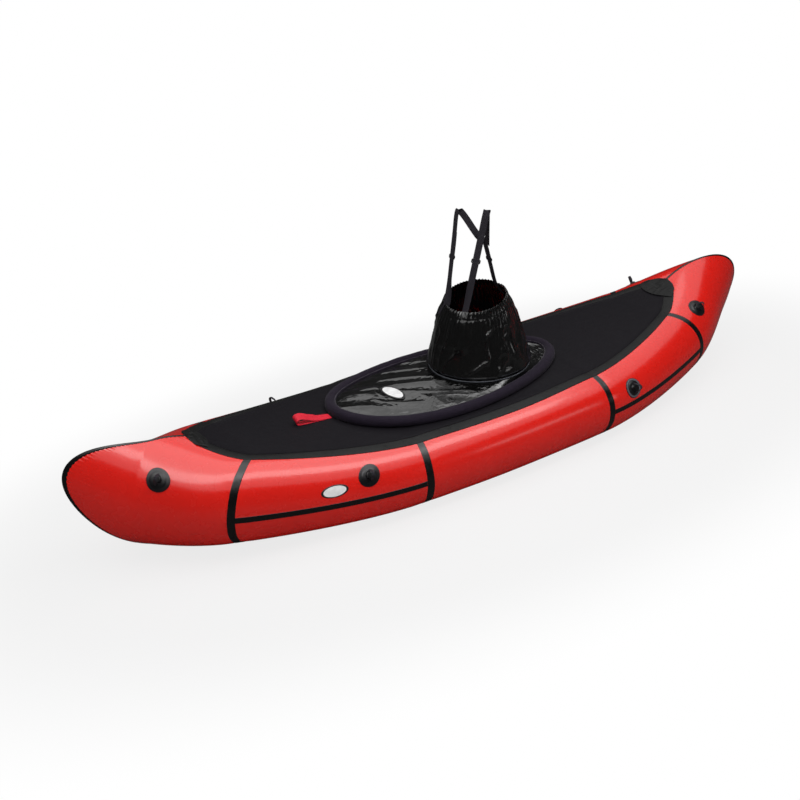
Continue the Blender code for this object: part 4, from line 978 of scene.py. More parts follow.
def crest_turn(places):
    """Turn round the tube at which the deck leaves it to span the middle."""
    wanted = np.maximum(band_end_turn(places) + CREST_START, RIGHT_ANGLE)
    side = DECK_END_HALF_WIDTH - DECK_END_INSET
    return np.minimum(wanted, turn_at_side(places, side, DECK_LIFT))


DECK_PLACES = np.linspace(DECK_STERN_SHARE, DECK_BOW_SHARE, 260)
CREST_LINE = skin(DECK_PLACES, crest_turn(DECK_PLACES), DECK_LIFT)


def deck_height(x, y):
    """Height of the deck's underside at a point between the tubes' crests."""
    edge = np.interp(x, CREST_LINE[:, 0], CREST_LINE[:, 1])
    height = np.interp(x, CREST_LINE[:, 0], CREST_LINE[:, 2])
    along = (np.asarray(x) - CREST_LINE[0, 0]) / (CREST_LINE[-1, 0] - CREST_LINE[0, 0])
    crown = DECK_CROWN * np.sin(np.pi * np.clip(along, 0, 1))
    return height + crown * (1 - np.clip(np.abs(y) / edge, 0, 1) ** 2)


def deck_layer(lift):
    """One face of the deck, from port edge to starboard edge."""
    start = (band_end_turn(DECK_PLACES) - BAND_GAP / TUBE_RADIUS)[:, None]
    end = crest_turn(DECK_PLACES)[:, None]
    half = [skin(DECK_PLACES[:, None], start + (end - start) * np.linspace(0, 1, 9), lift)]
    top = half[0][:, -1]
    base = deck_height(top[:, 0], top[:, 1])
    for share in np.linspace(1, 0, 34)[1:]:
        point = top * np.array([1.0, share, 1.0])
        point[:, 2] += deck_height(top[:, 0], point[:, 1]) - base
        half.append(point[:, None])
    port = np.concatenate(half, axis=1)
    return np.concatenate([port, mirrored(port[:, -2::-1], False)], axis=1)


def egg_path(angle, grow):
    """Points of the cockpit's egg outline, moved outward by grow.

    x is the centre plus the half length times the cosine, and y the half width times the
    sine, which a little of the cosine makes fuller toward the bow.
    """
    x = COCKPIT_HALF_LENGTH * np.cos(angle)
    y = COCKPIT_HALF_WIDTH * np.sin(angle) * (1 + EGG_SHARE * np.cos(angle))
    slope_x = -COCKPIT_HALF_LENGTH * np.sin(angle)
    slope_y = COCKPIT_HALF_WIDTH * (np.cos(angle) + EGG_SHARE * np.cos(2 * angle))
    length = np.hypot(slope_x, slope_y)
    return np.stack([
        COCKPIT_CENTRE + x + grow * slope_y / length,
        y - grow * slope_x / length,
    ], axis=-1)


def cut_out(target, cutter_form):
    """Cut a closed form out of a piece, and take the cutter away again."""
    mesh = plain_mesh("cutter", cutter_form[0].tolist(), cutter_form[1].tolist())
    cutter = added("cutter", mesh)
    cut = target.modifiers.new("cut", "BOOLEAN")
    cut.operation = "DIFFERENCE"
    cut.solver = "EXACT"
    cut.object = cutter
    applied(target)
    bpy.data.objects.remove(cutter)
    bpy.data.meshes.remove(mesh)


deck_top = deck_layer(DECK_LIFT + DECK_THICKNESS)
deck = build("deck", sheet_form(deck_top, deck_layer(DECK_LIFT)), DECK_BLACK)
hole = egg_path(circle_angles(176), -COAMING_RADIUS / 2)
cutter_rings = [
    np.column_stack([hole, np.full(len(hole), level)]) for level in (0.0, CUTTER_TOP)]
cut_out(deck, tube_form(np.stack(cutter_rings)))
print("deck faces", len(deck.data.polygons))

band_start = deck_edge_turn(DECK_PLACES)[:, None]
band_steps = np.array(TAPE_STEPS)[None, :]
band_turns = band_start + (band_end_turn(DECK_PLACES)[:, None] - band_start) * band_steps
for side, port in SIDES:
    on_tube(f"{side}_weld_band", WELD_FILM, port,
            (DECK_PLACES[:, None], band_turns, BAND_LIFT + BAND_THICKNESS * arch(band_steps)),
            (DECK_PLACES[:, None], band_turns, -TAPE_SINK))

# %% [markdown]
# ## Floor, coaming and rim
#
# The floor is one thin sheet under both tubes. Round the cockpit runs the coaming, a stiff
# ring, and over it the skirt's rim, a padded channel that is open below. Both follow the
# height of the frame's own coaming, which a short Fourier series fits.

# %% Build the floor, the coaming and the rim
FLOOR_THICKNESS = 0.0010
FLOOR_DROP = 0.0004
COAMING_FILL = 0.97
RIM_RADIUS = 0.0205
RIM_CLEARANCE = 0.0008
RIM_LIP_SHARE = -0.32
RIM_FOOT_SHARE = 0.985
RIM_DENT = 0.0007
RING_ANGLES = circle_angles(420)
WAVES = np.arange(1, 8)
STITCH_PITCH = 0.0046
STITCH_LENGTH = 0.0026
STITCH_LIFT = 0.0002
STITCH_TURN_SHARE = 1.62
STITCH_RADII = 0.00055 * np.array([0.4, 1.0, 1.0, 0.4])


def fourier(angle):
    """The terms of a short Fourier series at each angle, in the last place."""
    angle = np.asarray(angle, dtype=float)[..., None]
    terms = [np.ones_like(angle), np.cos(angle * WAVES), np.sin(angle * WAVES)]
    return np.concatenate(terms, axis=-1)


def node_points(name):
    """The points of one of the frame's nodes."""
    return np.array([point.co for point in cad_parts[name].data.vertices])


ring_points = node_points("coaming")
ring_x = (ring_points[:, 0] - COCKPIT_CENTRE) / COCKPIT_HALF_LENGTH
ring_y = ring_points[:, 1] / COCKPIT_HALF_WIDTH / (1 + EGG_SHARE * ring_x)
RING_TERMS = np.linalg.lstsq(
    fourier(np.arctan2(ring_y, ring_x)), ring_points[:, 2], rcond=None)[0]


def ring_height(angle):
    """Height of the coaming's centre line at an angle of the egg."""
    return fourier(angle) @ RING_TERMS


def egg_rings(section, angle):
    """Rings round the cockpit of section points: outward distances and heights."""
    base = ring_height(angle)
    rings = [np.column_stack([egg_path(angle, reach), base + height]) for reach, height in section]
    return np.stack(rings, axis=1)


def arc(radius, first, last, steps):
    """Points of an arc as pairs of outward distance and height, by right angles."""
    turns = np.linspace(first, last, steps) * RIGHT_ANGLE
    return [(radius * math.cos(turn), radius * math.sin(turn)) for turn in turns]


def lowered(points, drop):
    """Points moved straight down."""
    return points - np.array([0.0, 0.0, drop])


def stitches(path, outward_way):
    """Short thread stitches, sunk half into a surface along a closed path."""
    run = line_lengths(path[:, None])[:, 0]
    rings = []
    for middle in (np.arange(int(run[-1] / STITCH_PITCH)) + 0.5) * STITCH_PITCH:
        ends = [middle + STITCH_LENGTH * share for share in (-0.5, -0.35, 0.35, 0.5)]
        line = np.stack([np.interp(ends, run, path[:, axis]) for axis in range(3)], axis=-1)
        way = np.array([np.interp(middle, run, outward_way[:, axis]) for axis in range(3)])
        across = unit(np.cross(unit(line[-1] - line[0]), way))
        ways = spokes(circle_angles(6), across, unit(way))
        rings.append(tube_form(line[:, None] + STITCH_RADII[:, None, None] * ways))
    return joined(rings)


coaming_section = arc(COAMING_RADIUS * COAMING_FILL, 0, 3.8, 20)
build("coaming", closed_ring_sheet(egg_rings(coaming_section, RING_ANGLES)), PLASTIC_BLACK)

inside = (COAMING_RADIUS + RIM_CLEARANCE) / math.cos(RIGHT_ANGLE / 4)
outer_arc = arc(RIM_RADIUS, RIM_LIP_SHARE, 2, 34)
rim_section = [
    *outer_arc, (-RIM_RADIUS * RIM_FOOT_SHARE, -RIM_CLEARANCE), (-inside, -RIM_CLEARANCE),
    *arc(inside, 2, 0, 12), (inside, -COAMING_RADIUS / 2),
]
rim_rings = egg_rings(rim_section, RING_ANGLES)
rim_centre = egg_rings([(0.0, 0.0)], RING_ANGLES)
round_rim = line_lengths(egg_path(RING_ANGLES, 0.0)[:, None])
section_step = np.arange(len(outer_arc))
dent = lattice_noise(round_rim * 21.0, section_step * 0.16, 71)
dent = dent + 0.6 * lattice_noise(round_rim * 55.0, section_step * 0.3, 72)
edge_fade = np.sin(np.pi * section_step / section_step[-1]) ** 0.5
way_out = unit(rim_rings[:, section_step] - rim_centre)
rim_rings[:, section_step] += way_out * (RIM_DENT * dent * edge_fade)[..., None]
rim = build("skirt_rim", closed_ring_sheet(rim_rings), RIM_BLACK, "skirt")

stitch_section = arc(RIM_RADIUS + STITCH_LIFT, STITCH_TURN_SHARE, STITCH_TURN_SHARE, 1)
stitch_line = egg_rings(stitch_section, RING_ANGLES)
stitch_form = stitches(*(closed_line(line[:, 0]) for line in (
    stitch_line, unit(stitch_line - rim_centre))))
build("rim_stitching", stitch_form, THREAD_GREY, "skirt", "rim_foam")

floor_places = np.linspace(DECK_STERN_SHARE, DECK_BOW_SHARE, 160)
floor_edge = lowered(skin(floor_places, -RIGHT_ANGLE), FLOOR_DROP)
floor_edge[:, 2] = np.maximum(floor_edge[:, 2], FLOOR_THICKNESS)
floor_top = np.repeat(floor_edge[:, None], 41, axis=1)
floor_top[..., 1] *= np.linspace(1, -1, 41)
floor_form = sheet_form(floor_top, lowered(floor_top, FLOOR_THICKNESS))
floor_sheet = build("floor_sheet", floor_form, FLOOR_CLOTH)
print("rim height", ring_height(np.array([0.0, math.pi / 2, math.pi])).round(3).tolist())

# %% [markdown]
# ## The spray skirt
#
# The skirt's cloth rises from the rim to the body sleeve. It is thin coated cloth, pulled
# fore and aft, so long sharp folds run between the sleeve and the rim's front, and smaller
# ones crumple where it meets either. It lies calmer where a badge is to go. Folds are
# ridged noise: one minus the size of a smooth noise is sharp where the noise crosses zero.
#
# The sleeve narrows to an elastic hem. Fine gathers run down from the hem and die away
# among broader folds, and above the elastic stands a short frill.

# %% Build the skirt's cloth and sleeve
SKIRT_THICKNESS = 0.0008
SKIRT_GAP = 0.0005
SKIRT_SHELF = 0.001
SKIRT_RISE = 0.0022
SKIRT_BADGE_CENTRE = (0.2933, 0.0182)
# The badge's half axes on the skirt, as columns: the long one, then the short one
SKIRT_BADGE_AXES = np.array([(-0.0150, -0.0250), (0.0570, -0.0250)])
BADGE_CALM = 0.85
BADGE_CALM_REACH = 1.15
FOLD_HEIGHT = 0.0085
FOLD_TURN = math.radians(33)
CRUMPLE_HEIGHT = 0.0022
CRUMPLE_REACH = 0.03
FULL_FOLD_SPAN = 0.10
TUNNEL_CENTRE = -0.0995
TUNNEL_HALF_LENGTH = 0.200
TUNNEL_HALF_WIDTH = 0.203
TUNNEL_HEIGHT = 0.260
TUNNEL_TUCK = 0.022
TUCK_SHARE = 0.08
TUNNEL_SEAM = 0.014
TUNNEL_THICKNESS = 0.0009
MOUTH_CENTRE = -0.0905
MOUTH_HALF_LENGTH = 0.098
MOUTH_HALF_WIDTH = 0.128
MOUTH_SLOPE = 0.265
SLEEVE_STRAIGHT_SHARE = 0.80
ELASTIC_SHARE = 0.90
ELASTIC_PINCH = 0.0008
FOLD_DEPTH = 0.009
GATHER_DEPTH = 0.0024
GATHER_COUNT = 58
FRILL_DEPTH = 0.0012
HEM_FLARE = 0.004
BRACE_TURN = 0.46
BRACE_SPREAD = 0.13
PIPING_RADIUS = 0.0021
SLEEVE_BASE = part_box("body_tunnel")[0].z


def wrap(angle):
    """An angle brought between minus and plus half a turn."""
    return (angle + np.pi) % (2 * np.pi) - np.pi


def ridged(first, second, seed, power=3):
    """Sharp ridges from 0 to 1 along the lines where a smooth noise crosses zero."""
    return (1 - np.abs(lattice_noise(first, second, seed))) ** power


def round_noise(angle, share, lumps, rows, seed):
    """Ridged noise that closes up round a circle of this many lumps."""
    turn = (angle % (2 * np.pi)) / (2 * np.pi)
    blend_in = np.clip((turn - 0.9) / 0.1, 0, 1)
    here = ridged(turn * lumps + 7, share * rows + 3, seed)
    there = ridged((turn - 1) * lumps + 7, share * rows + 3, seed)
    return here * (1 - blend_in) + there * blend_in


def sleeve_base_point(angle, share, reach_out):
    """A point of the sleeve without its folds: a cone that rounds in at the hem."""
    angle, share = np.broadcast_arrays(angle, share)
    narrow = SLEEVE_STRAIGHT_SHARE * share + (1 - SLEEVE_STRAIGHT_SHARE) * share**8
    half_length = TUNNEL_HALF_LENGTH + (MOUTH_HALF_LENGTH - TUNNEL_HALF_LENGTH) * narrow
    half_width = TUNNEL_HALF_WIDTH + (MOUTH_HALF_WIDTH - TUNNEL_HALF_WIDTH) * narrow
    centre = TUNNEL_CENTRE + (MOUTH_CENTRE - TUNNEL_CENTRE) * share
    reach = reach_out - TUNNEL_TUCK * np.clip(1 - share / TUCK_SHARE, 0, 1)
    x = centre + (half_length + reach) * np.cos(angle)
    y = (half_width + reach) * np.sin(angle)
    z = SLEEVE_BASE + TUNNEL_HEIGHT * share - MOUTH_SLOPE * (x - centre) * share**2
    return np.stack([x, y, z], axis=-1)


def calm_near_braces(angle):
    """0 where a brace is sewn to the sleeve, 1 elsewhere."""
    front = np.exp(-((np.abs(wrap(angle)) - BRACE_TURN) / BRACE_SPREAD) ** 2)
    back_patch = np.exp(-(wrap(angle - np.pi) / BRACE_SPREAD) ** 2)
    return 1 - np.clip(front + back_patch, 0, 1)


def sleeve_folds(angle, share):
    """How far the sleeve's folds stand out at each angle and share of its height."""
    above = share - ELASTIC_SHARE
    calm = 1 - (1 - calm_near_braces(angle)) * np.clip((share - 0.45) / 0.3, 0, 1)
    belly = np.sin(np.pi * np.clip(share / 0.97, 0, 1)) ** 0.8
    sway = 0.10 * np.sin(3 * angle + 5 * share) * (1 - share)
    broad = round_noise(angle + sway, share, 13.0, 1.3, 81) - 0.75
    sharp = round_noise(angle + 1.5 * sway, share, 26.0, 2.2, 83) ** 2 - 0.4
    cross = round_noise(angle, share, 9.0, 6.0, 85) - 0.4
    folds = FOLD_DEPTH * belly * (0.9 * broad + 0.75 * sharp + 0.28 * cross)
    wander = 2.5 * lattice_noise(angle * 4 + 30, 4.5, 87)
    uneven = 0.55 + 0.45 * lattice_noise(angle * 7 + 50, share * 5 + 2.5, 88)
    gathers = np.cos(GATHER_COUNT * angle + wander) * uneven
    below = np.where(above < 0, np.exp(-(above / 0.20) ** 2), 1.0)
    gathered = GATHER_DEPTH * gathers * below * np.clip(np.abs(above) / 0.05, 0.25, 1)
    frill = np.clip((above - 0.03) / 0.07, 0, 1)
    ruffle = FRILL_DEPTH * frill * np.sin(GATHER_COUNT * angle + 1.3 + wander)
    pinch = ELASTIC_PINCH * np.exp(-(above / 0.022) ** 2)
    return (folds + gathered + ruffle + HEM_FLARE * frill) * calm - pinch


def skirt_edge(foot):
    """The skirt's edge in the rim, one point straight outward of each point of its foot."""
    fine_angle = circle_angles(4000)
    rim_edge = egg_path(fine_angle, -(RIM_RADIUS + SKIRT_GAP))
    rim_aim, aim = (
        np.unwrap(np.arctan2(line[:, 1], line[:, 0] - TUNNEL_CENTRE)) for line in (rim_edge, foot))
    egg_angle = np.interp(aim, np.append(rim_aim, rim_aim[0] + 2 * np.pi),
                          np.append(fine_angle, 2 * np.pi))
    section = [(SKIRT_GAP - RIM_RADIUS, COAMING_RADIUS / 2 + SKIRT_THICKNESS)]
    return egg_rings(section, egg_angle)[:, 0]


def skirt_height(x, y, share, span):
    """How high the folds of the skirt's cloth stand at each of its points."""
    swell = np.sin(np.pi * share)
    across = y * math.cos(FOLD_TURN) + x * math.sin(FOLD_TURN)
    along = x * math.cos(FOLD_TURN) - y * math.sin(FOLD_TURN)
    folds = ridged(across * 13 + 9, along * 2.5 + 5, 91, 2) - 0.35
    folds = folds + 0.5 * (ridged(across * 27 + 3, along * 5.0, 93, 2) - 0.3)
    crumples = ridged(x * 34, y * 34 + 11, 95) + 0.6 * ridged(x * 70, y * 70, 97) - 0.5
    near_edges = sum(np.exp(-way * span / CRUMPLE_REACH) for way in (share, 1 - share))
    crumples = crumples * np.clip(0.35 + 0.65 * near_edges, 0, 1) * np.clip(swell * 3, 0, 1)
    height = FOLD_HEIGHT * folds * swell**0.6 + CRUMPLE_HEIGHT * crumples
    badge_place = np.stack([x, y], axis=-1) - SKIRT_BADGE_CENTRE
    badge_distance = np.linalg.norm(badge_place @ np.linalg.inv(SKIRT_BADGE_AXES).T, axis=-1)
    calm = 1 - BADGE_CALM * np.exp(-(badge_distance / BADGE_CALM_REACH) ** 4)
    return height * np.clip(span / FULL_FOLD_SPAN, 0, 1) * calm + SKIRT_RISE * swell


def round_cord_rings(path, radius, sides, across_way):
    """Rings of a closed round cord along a path, with one of its directions given."""
    along = way_along(path)
    first = unit(np.cross(along, across_way))
    second = np.cross(first, along)
    return path[:, None] + radius * spokes(circle_angles(sides), first[:, None], second[:, None])


def way_along(path):
    """The direction along a closed path at each of its points."""
    return unit(np.roll(path, -1, axis=0) - np.roll(path, 1, axis=0))


sleeve_angle = circle_angles(512)[None, :]
sleeve_share = np.concatenate([np.linspace(0, 0.84, 64), np.linspace(0.85, 1, 26)])[:, None]
sleeve_reach = sleeve_folds(sleeve_angle, sleeve_share)
sleeve_outer, sleeve_inner = (
    sleeve_base_point(sleeve_angle, sleeve_share, lift + sleeve_reach)
    for lift in (0.0, -TUNNEL_THICKNESS))
sleeve = build("body_tunnel", sheet_form(sleeve_outer, sleeve_inner, True), SKIRT_BLACK, "skirt")

foot, seam = (
    sleeve_base_point(circle_angles(640), 0.0, reach) for reach in (SKIRT_SHELF, -TUNNEL_SEAM))
foot[:, 2] = seam[:, 2] = SLEEVE_BASE - SKIRT_GAP
edge = skirt_edge(foot)
skirt_shares = np.linspace(0, 1, 100)[:, None]
skirt_grid = edge + (foot - edge) * skirt_shares[..., None]
skirt_span = np.linalg.norm((foot - edge)[:, :2], axis=1)
skirt_grid[..., 2] += skirt_height(*np.moveaxis(skirt_grid[..., :2], -1, 0), skirt_shares, skirt_span)
skirt_grid = np.concatenate([skirt_grid, seam[None]])
skirt_form = sheet_form(skirt_grid, lowered(skirt_grid, SKIRT_THICKNESS), True)
skirt_deck = build("skirt_deck", skirt_form, SKIRT_BLACK, "skirt")

piping_path = sleeve_base_point(circle_angles(360), TUCK_SHARE * 0.4, 0.0)
piping_path[:, 2] = SLEEVE_BASE + PIPING_RADIUS * 0.6
piping_rings = round_cord_rings(piping_path, PIPING_RADIUS, 10, np.array([0.0, 0.0, 1.0]))
build("sleeve_piping", closed_ring_sheet(piping_rings), RING_GREY, "skirt", "rim_foam")
print("sleeve stands on", round(SLEEVE_BASE, 4))

# %% [markdown]
# ## Braces
#
# Three straps of flat webbing hold the sleeve up: one over each shoulder, crossed behind,
# and one from the crossing down to the sleeve's back. Each runs through a plastic slider,
# and its spare end lies doubled on the strap above it. A strap is a ribbon: a smooth route,
# the direction across it at each point, and a thin section with rounded edges.

# %% Build the braces and sliders
STRAP_WIDTH = 0.024
STRAP_THICKNESS = 0.0016
STRAP_GAP = 0.0007
STRAP_TUCK = 0.045
STRAP_INSET = 0.0015
BRACE_TWIST_SHARE = 0.3
BRACE_STRAIGHT_SHARE = 0.8
SHOULDER_HEIGHT = 0.889
SHOULDER_HALF_WIDTH = 0.065
SHOULDER_PLACE = -0.0915
SHOULDER_SKEW = 0.017
SHOULDER_ROUND = 0.55
CROSS_PLACE = -0.1425
CROSS_DROP = 0.144
BACK_SLIDER_SHARE = 0.624
FRONT_SLIDER_SHARE = 0.488
SLIDER_LENGTH = 0.018
SLIDER_WIDTH = 0.033
SLIDER_BAR = 0.0021
SLIDER_BULGE = 0.0012
SLIDER_SQUARENESS = 0.38
DOUBLE_LENGTH = 0.085
DOUBLE_GAP = 0.0002
LEVEL_WAY = np.array([0.0, 1.0, 0.0])
# The ways across the straps where they face forward to port, and where one turns back
PORT_STRAP_WAY = np.array([-0.80, 0.60, 0.0])
STARBOARD_LOW_WAY = np.array([-0.72, 0.69, 0.0])
STARBOARD_RETURN_WAY = np.array([-0.83, 0.22, 0.50])
# A strap's section round its edge, as shares of half its width and half its thickness
EDGE_SHARES = ((-1.0, -0.35), (-0.97, -1.0), (0.97, -1.0), (1.0, -0.35), (1.0, 0.35),
               (0.97, 1.0), (-0.97, 1.0), (-1.0, 0.35))
SECTION_FILL = 6


def strap_form(route, across, steps, width, thickness):
    """A flat strap along a smooth route, with its thin section split across its width."""
    route = np.asarray(route, dtype=float)
    knots = line_lengths(route[:, None])[:, 0]
    place = np.linspace(0, knots[-1], steps)
    centre = through(knots, route, place)
    along = unit(np.gradient(centre, axis=0))
    across = through(knots, across, place)
    across = unit(across - (across * along).sum(axis=1, keepdims=True) * along)
    section = []
    for first, second in zip(EDGE_SHARES, EDGE_SHARES[1:] + EDGE_SHARES[:1]):
        wide = abs(first[0] - second[0]) > 1
        for step in range(SECTION_FILL if wide else 1):
            part = step / SECTION_FILL
            section.append([first[k] + (second[k] - first[k]) * part for k in (0, 1)])
    section = np.array(section)
    return tube_form(
        centre[:, None]
        + section[None, :, :1] * across[:, None] * width / 2
        + section[None, :, 1:] * np.cross(along, across)[:, None] * thickness / 2)


def sleeve_wall_way(angle):
    """The level direction along the sleeve's mouth at an angle round it."""
    step = np.array([-MOUTH_HALF_LENGTH * math.sin(angle), MOUTH_HALF_WIDTH * math.cos(angle), 0])
    return unit(step) * (1 if step[1] > 0 else -1)


def brace_foot(angle):
    """Where a brace is sewn inside the sleeve's mouth: its lower end and its lip point."""
    inward = -(STRAP_INSET + STRAP_GAP + STRAP_THICKNESS)
    return [
        sleeve_base_point(angle, share, inward) for share in (1 - STRAP_TUCK / TUNNEL_HEIGHT, 1.0)]


def front_brace_route(port):
    """A front brace's route and the direction across it at each of its points."""
    side = 1 if port else -1
    low, high = brace_foot(side * BRACE_TURN)
    shoulder = np.array([
        SHOULDER_PLACE - side * SHOULDER_SKEW,
        side * SHOULDER_HALF_WIDTH,
        SHOULDER_HEIGHT + side * SHOULDER_SKEW / 2,
    ])
    cross = np.array([
        CROSS_PLACE, side * (STRAP_WIDTH / 2 + STRAP_GAP), SHOULDER_HEIGHT - CROSS_DROP])
    before = shoulder - unit(shoulder - high) * STRAP_WIDTH
    after = shoulder + unit(cross - shoulder) * STRAP_WIDTH
    lean = (before + after) / 2
    top = lean + (shoulder - lean) * SHOULDER_ROUND
    untwisted = high + (before - high) * BRACE_TWIST_SHARE
    straight = high + (before - high) * BRACE_STRAIGHT_SHARE
    near_cross = after + (cross - after) * 0.6
    route = [low, high, untwisted, straight, before, top, after, near_cross, cross]
    if port:
        wall = sleeve_wall_way(BRACE_TURN)
        across = [wall] * 2 + [PORT_STRAP_WAY] * 4 + [LEVEL_WAY] * 3
    else:
        across = [STARBOARD_LOW_WAY] * 2 + [LEVEL_WAY] * 4
        across += [STARBOARD_RETURN_WAY] * 2 + [LEVEL_WAY]
    return route, across, high, shoulder


def brace(name, route, across, steps):
    """One strap of the braces."""
    form = strap_form(route, across, steps, STRAP_WIDTH, STRAP_THICKNESS)
    build(name, form, STRAP_BLACK, "skirt")


def slider(name, first, second, share, across):
    """A ladder slider on a strap, with the strap's spare end doubled above it.

    The slider is a rounded frame of moulded bar with a cross bar, and it rides on its own
    body, so that it slides along the strap.
    """
    centre = first + (second - first) * share
    along = unit(second - first)
    across = unit(across - across.dot(along) * along)
    face = np.cross(along, across)
    turns = circle_angles(72)
    wide = SLIDER_WIDTH / 2 - SLIDER_BAR
    x, y = (
        half * np.sign(way) * np.abs(way) ** SLIDER_SQUARENESS
        for half, way in ((wide, np.cos(turns)), (SLIDER_LENGTH / 2 - SLIDER_BAR, np.sin(turns))))
    bow_out = SLIDER_BULGE * (1 - (x / wide) ** 2)
    path = centre + x[:, None] * across + y[:, None] * along + bow_out[:, None] * face
    ring = closed_ring_sheet(round_cord_rings(path, SLIDER_BAR, 12, face))
    bar_line = centre + np.linspace(-wide, wide, 24)[:, None] * across
    bar_line = bar_line + (STRAP_THICKNESS / 2 + SLIDER_BAR * 0.7) * face
    bar = bar_line[:, None] + SLIDER_BAR * 0.85 * spokes(circle_angles(12), along, face)
    build(name, joined([ring, tube_form(bar)]), PLASTIC_BLACK, name)
    start = centre + along * SLIDER_LENGTH * 0.2
    end = start + along * DOUBLE_LENGTH
    lift = face * (STRAP_THICKNESS + DOUBLE_GAP)
    spare = [start + lift, (start + end) / 2 + lift * 1.35, end + lift]
    spare_form = strap_form(spare, [across] * 3, 40, STRAP_WIDTH * 0.97, STRAP_THICKNESS)
    build(name.replace("slider", "spare_end"), spare_form, STRAP_BLACK, name, "black_webbing")


for side, port in SIDES:
    route, across, high, shoulder = front_brace_route(port)
    brace(f"{side}_front_brace", route, across, 200)
    slider(f"{side}_brace_slider", high, shoulder, FRONT_SLIDER_SHARE, across[3])
low, high = brace_foot(math.pi)
crossing = np.array([CROSS_PLACE, 0.0, SHOULDER_HEIGHT - CROSS_DROP - STRAP_GAP])
brace("back_brace", [crossing, (crossing + high) / 2, high, low], [LEVEL_WAY] * 4, 90)
slider("back_brace_slider", high, crossing, BACK_SLIDER_SHARE, LEVEL_WAY)

# %% [markdown]
# ## Pull tab
#
# The red tab is a loop of webbing sewn to the rim's front. Its upper layer dips, rises and
# folds over at the tip, and the lower layer lies back along the deck.

# %% Build the pull tab
TAB_LENGTH = 0.142
TAB_WIDTH = 0.030
TAB_HEIGHT = 0.028
TAB_THICKNESS = 0.0018
TAB_LEAN = -0.55
# The loop's route from the sewn root over the tip and back, as shares of length and height
TAB_ROUTE_SHARES = (
    (0.04, 0.10), (0.15, 0.14), (0.34, 0.20), (0.50, 0.40), (0.62, 0.58), (0.76, 0.83),
    (0.88, 0.955), (0.955, 0.88), (0.985, 0.62), (0.975, 0.33), (0.92, 0.11), (0.80, 0.035),
    (0.52, 0.032), (0.25, 0.032), (0.04, 0.032),
)
tab_low, tab_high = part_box("pull_tab")
tab_points = node_points("pull_tab")
root_low = tab_points[tab_points[:, 0] < tab_low.x + 0.002][:, 2].min()
tip_low = tab_points[tab_points[:, 0] > tab_high.x - 0.02][:, 2].min()
tab_along = unit(np.array([TAB_LENGTH, 0.0, tip_low - root_low]))
tab_up = np.array([-tab_along[2], 0.0, tab_along[0]])
tab_root = np.array([tab_low.x, 0.0, root_low])
tab_route = [
    tab_root + tab_along * TAB_LENGTH * length + tab_up * TAB_HEIGHT * height
    for length, height in TAB_ROUTE_SHARES
]
tab_across = [
    (0.02, 1.0, TAB_LEAN * min(height / 0.4, 1.0)) for _, height in TAB_ROUTE_SHARES]
tab_form = strap_form(tab_route, tab_across, 170, TAB_WIDTH * 0.96, TAB_THICKNESS * 0.8)
tab = build("pull_tab", tab_form, TAB_RED, "pull_tab")
print("tab tip", round(max(vertex.co.x for vertex in tab.data.vertices), 3))

# %% [markdown]
# ## Lashing pads, loops and the valve
#
# Turned shapes are laid on the tube: each point of the profile goes to the skin at its
# distance from the middle, and rises by its height. A lashing pad is a thin welded disc
# with a raised ring and a bored knob, and a loop of tape stands in the bore.

# %% Build the pads, loops and valve
PAD_RADIUS = 0.0375
PAD_EDGE = 0.0014
PAD_LIFT = 0.0002
NOSE_PAD_LIFT = 0.0012
KNOB_RADIUS = 0.0105
KNOB_HEIGHT = 0.0112
LOOP_BORE_RADIUS = 0.0026
LOOP_WIRE_RADIUS = 0.0020
LOOP_AXIS_HEIGHT = 0.0068
LOOP_HALF_WIDTH = 0.0150
LOOP_LENGTH = 0.032
# How high the frame's own pads lie, by whether they are on a nose
FRAME_PAD_LIFTS = {True: 0.0021, False: 0.0002}
# Each pad's name, its place along the tube, its turn as a share of a right angle, and
# whether it has a pale ring
PAD_SHARES = (
    ("bow", 0.874, 0.42, False),
    ("forward", 0.702, 0.39, False),
    ("aft", 0.315, 0.27, True),
    ("stern", 0.170, 0.60, False),
)
# Sections as radius and height, in shares of the pad's radius and edge, or of the knob's size
PAD_PROFILE = np.array((
    (0.12, 0.0), (0.50, 0.0), (0.90, 0.0), (0.992, 0.0), (1.0, 0.35), (0.992, 0.80),
    (0.965, 1.0), (0.86, 1.08), (0.76, 1.15), (0.70, 1.30), (0.67, 1.75), (0.62, 2.25),
    (0.55, 2.65), (0.47, 2.9), (0.41, 3.05), (0.375, 3.3),
)) * (PAD_RADIUS, PAD_EDGE)
KNOB_PROFILE = np.array((
    (1.22, 0.38), (1.10, 0.50), (1.03, 0.68), (1.0, 0.84), (0.97, 0.93), (0.88, 0.985),
    (0.72, 1.0), (0.40, 1.0), (0.15, 0.99),
)) * (KNOB_RADIUS, KNOB_HEIGHT)
PALE_RING_PROFILE = np.array((
    (0.93, 0.6), (0.93, 1.6), (0.89, 2.1), (0.79, 2.1), (0.755, 1.7), (0.755, 0.6),
)) * (PAD_RADIUS, PAD_EDGE)
# A loop's line from the middle of the bore and round, as shares of its half width and length
LOOP_SHAPE = np.array((
    (-1.0, 0.0), (-0.5, 0.0), (0.0, 0.0), (0.5, 0.0), (1.0, 0.0), (1.16, 0.10),
    (1.12, 0.26), (0.80, 0.57), (0.46, 0.88), (0.20, 1.0), (-0.20, 1.0), (-0.46, 0.88),
    (-0.80, 0.57), (-1.12, 0.26), (-1.16, 0.10),
))
LOOP_WIDENING = 1.6
LOOP_THINNING = 0.45


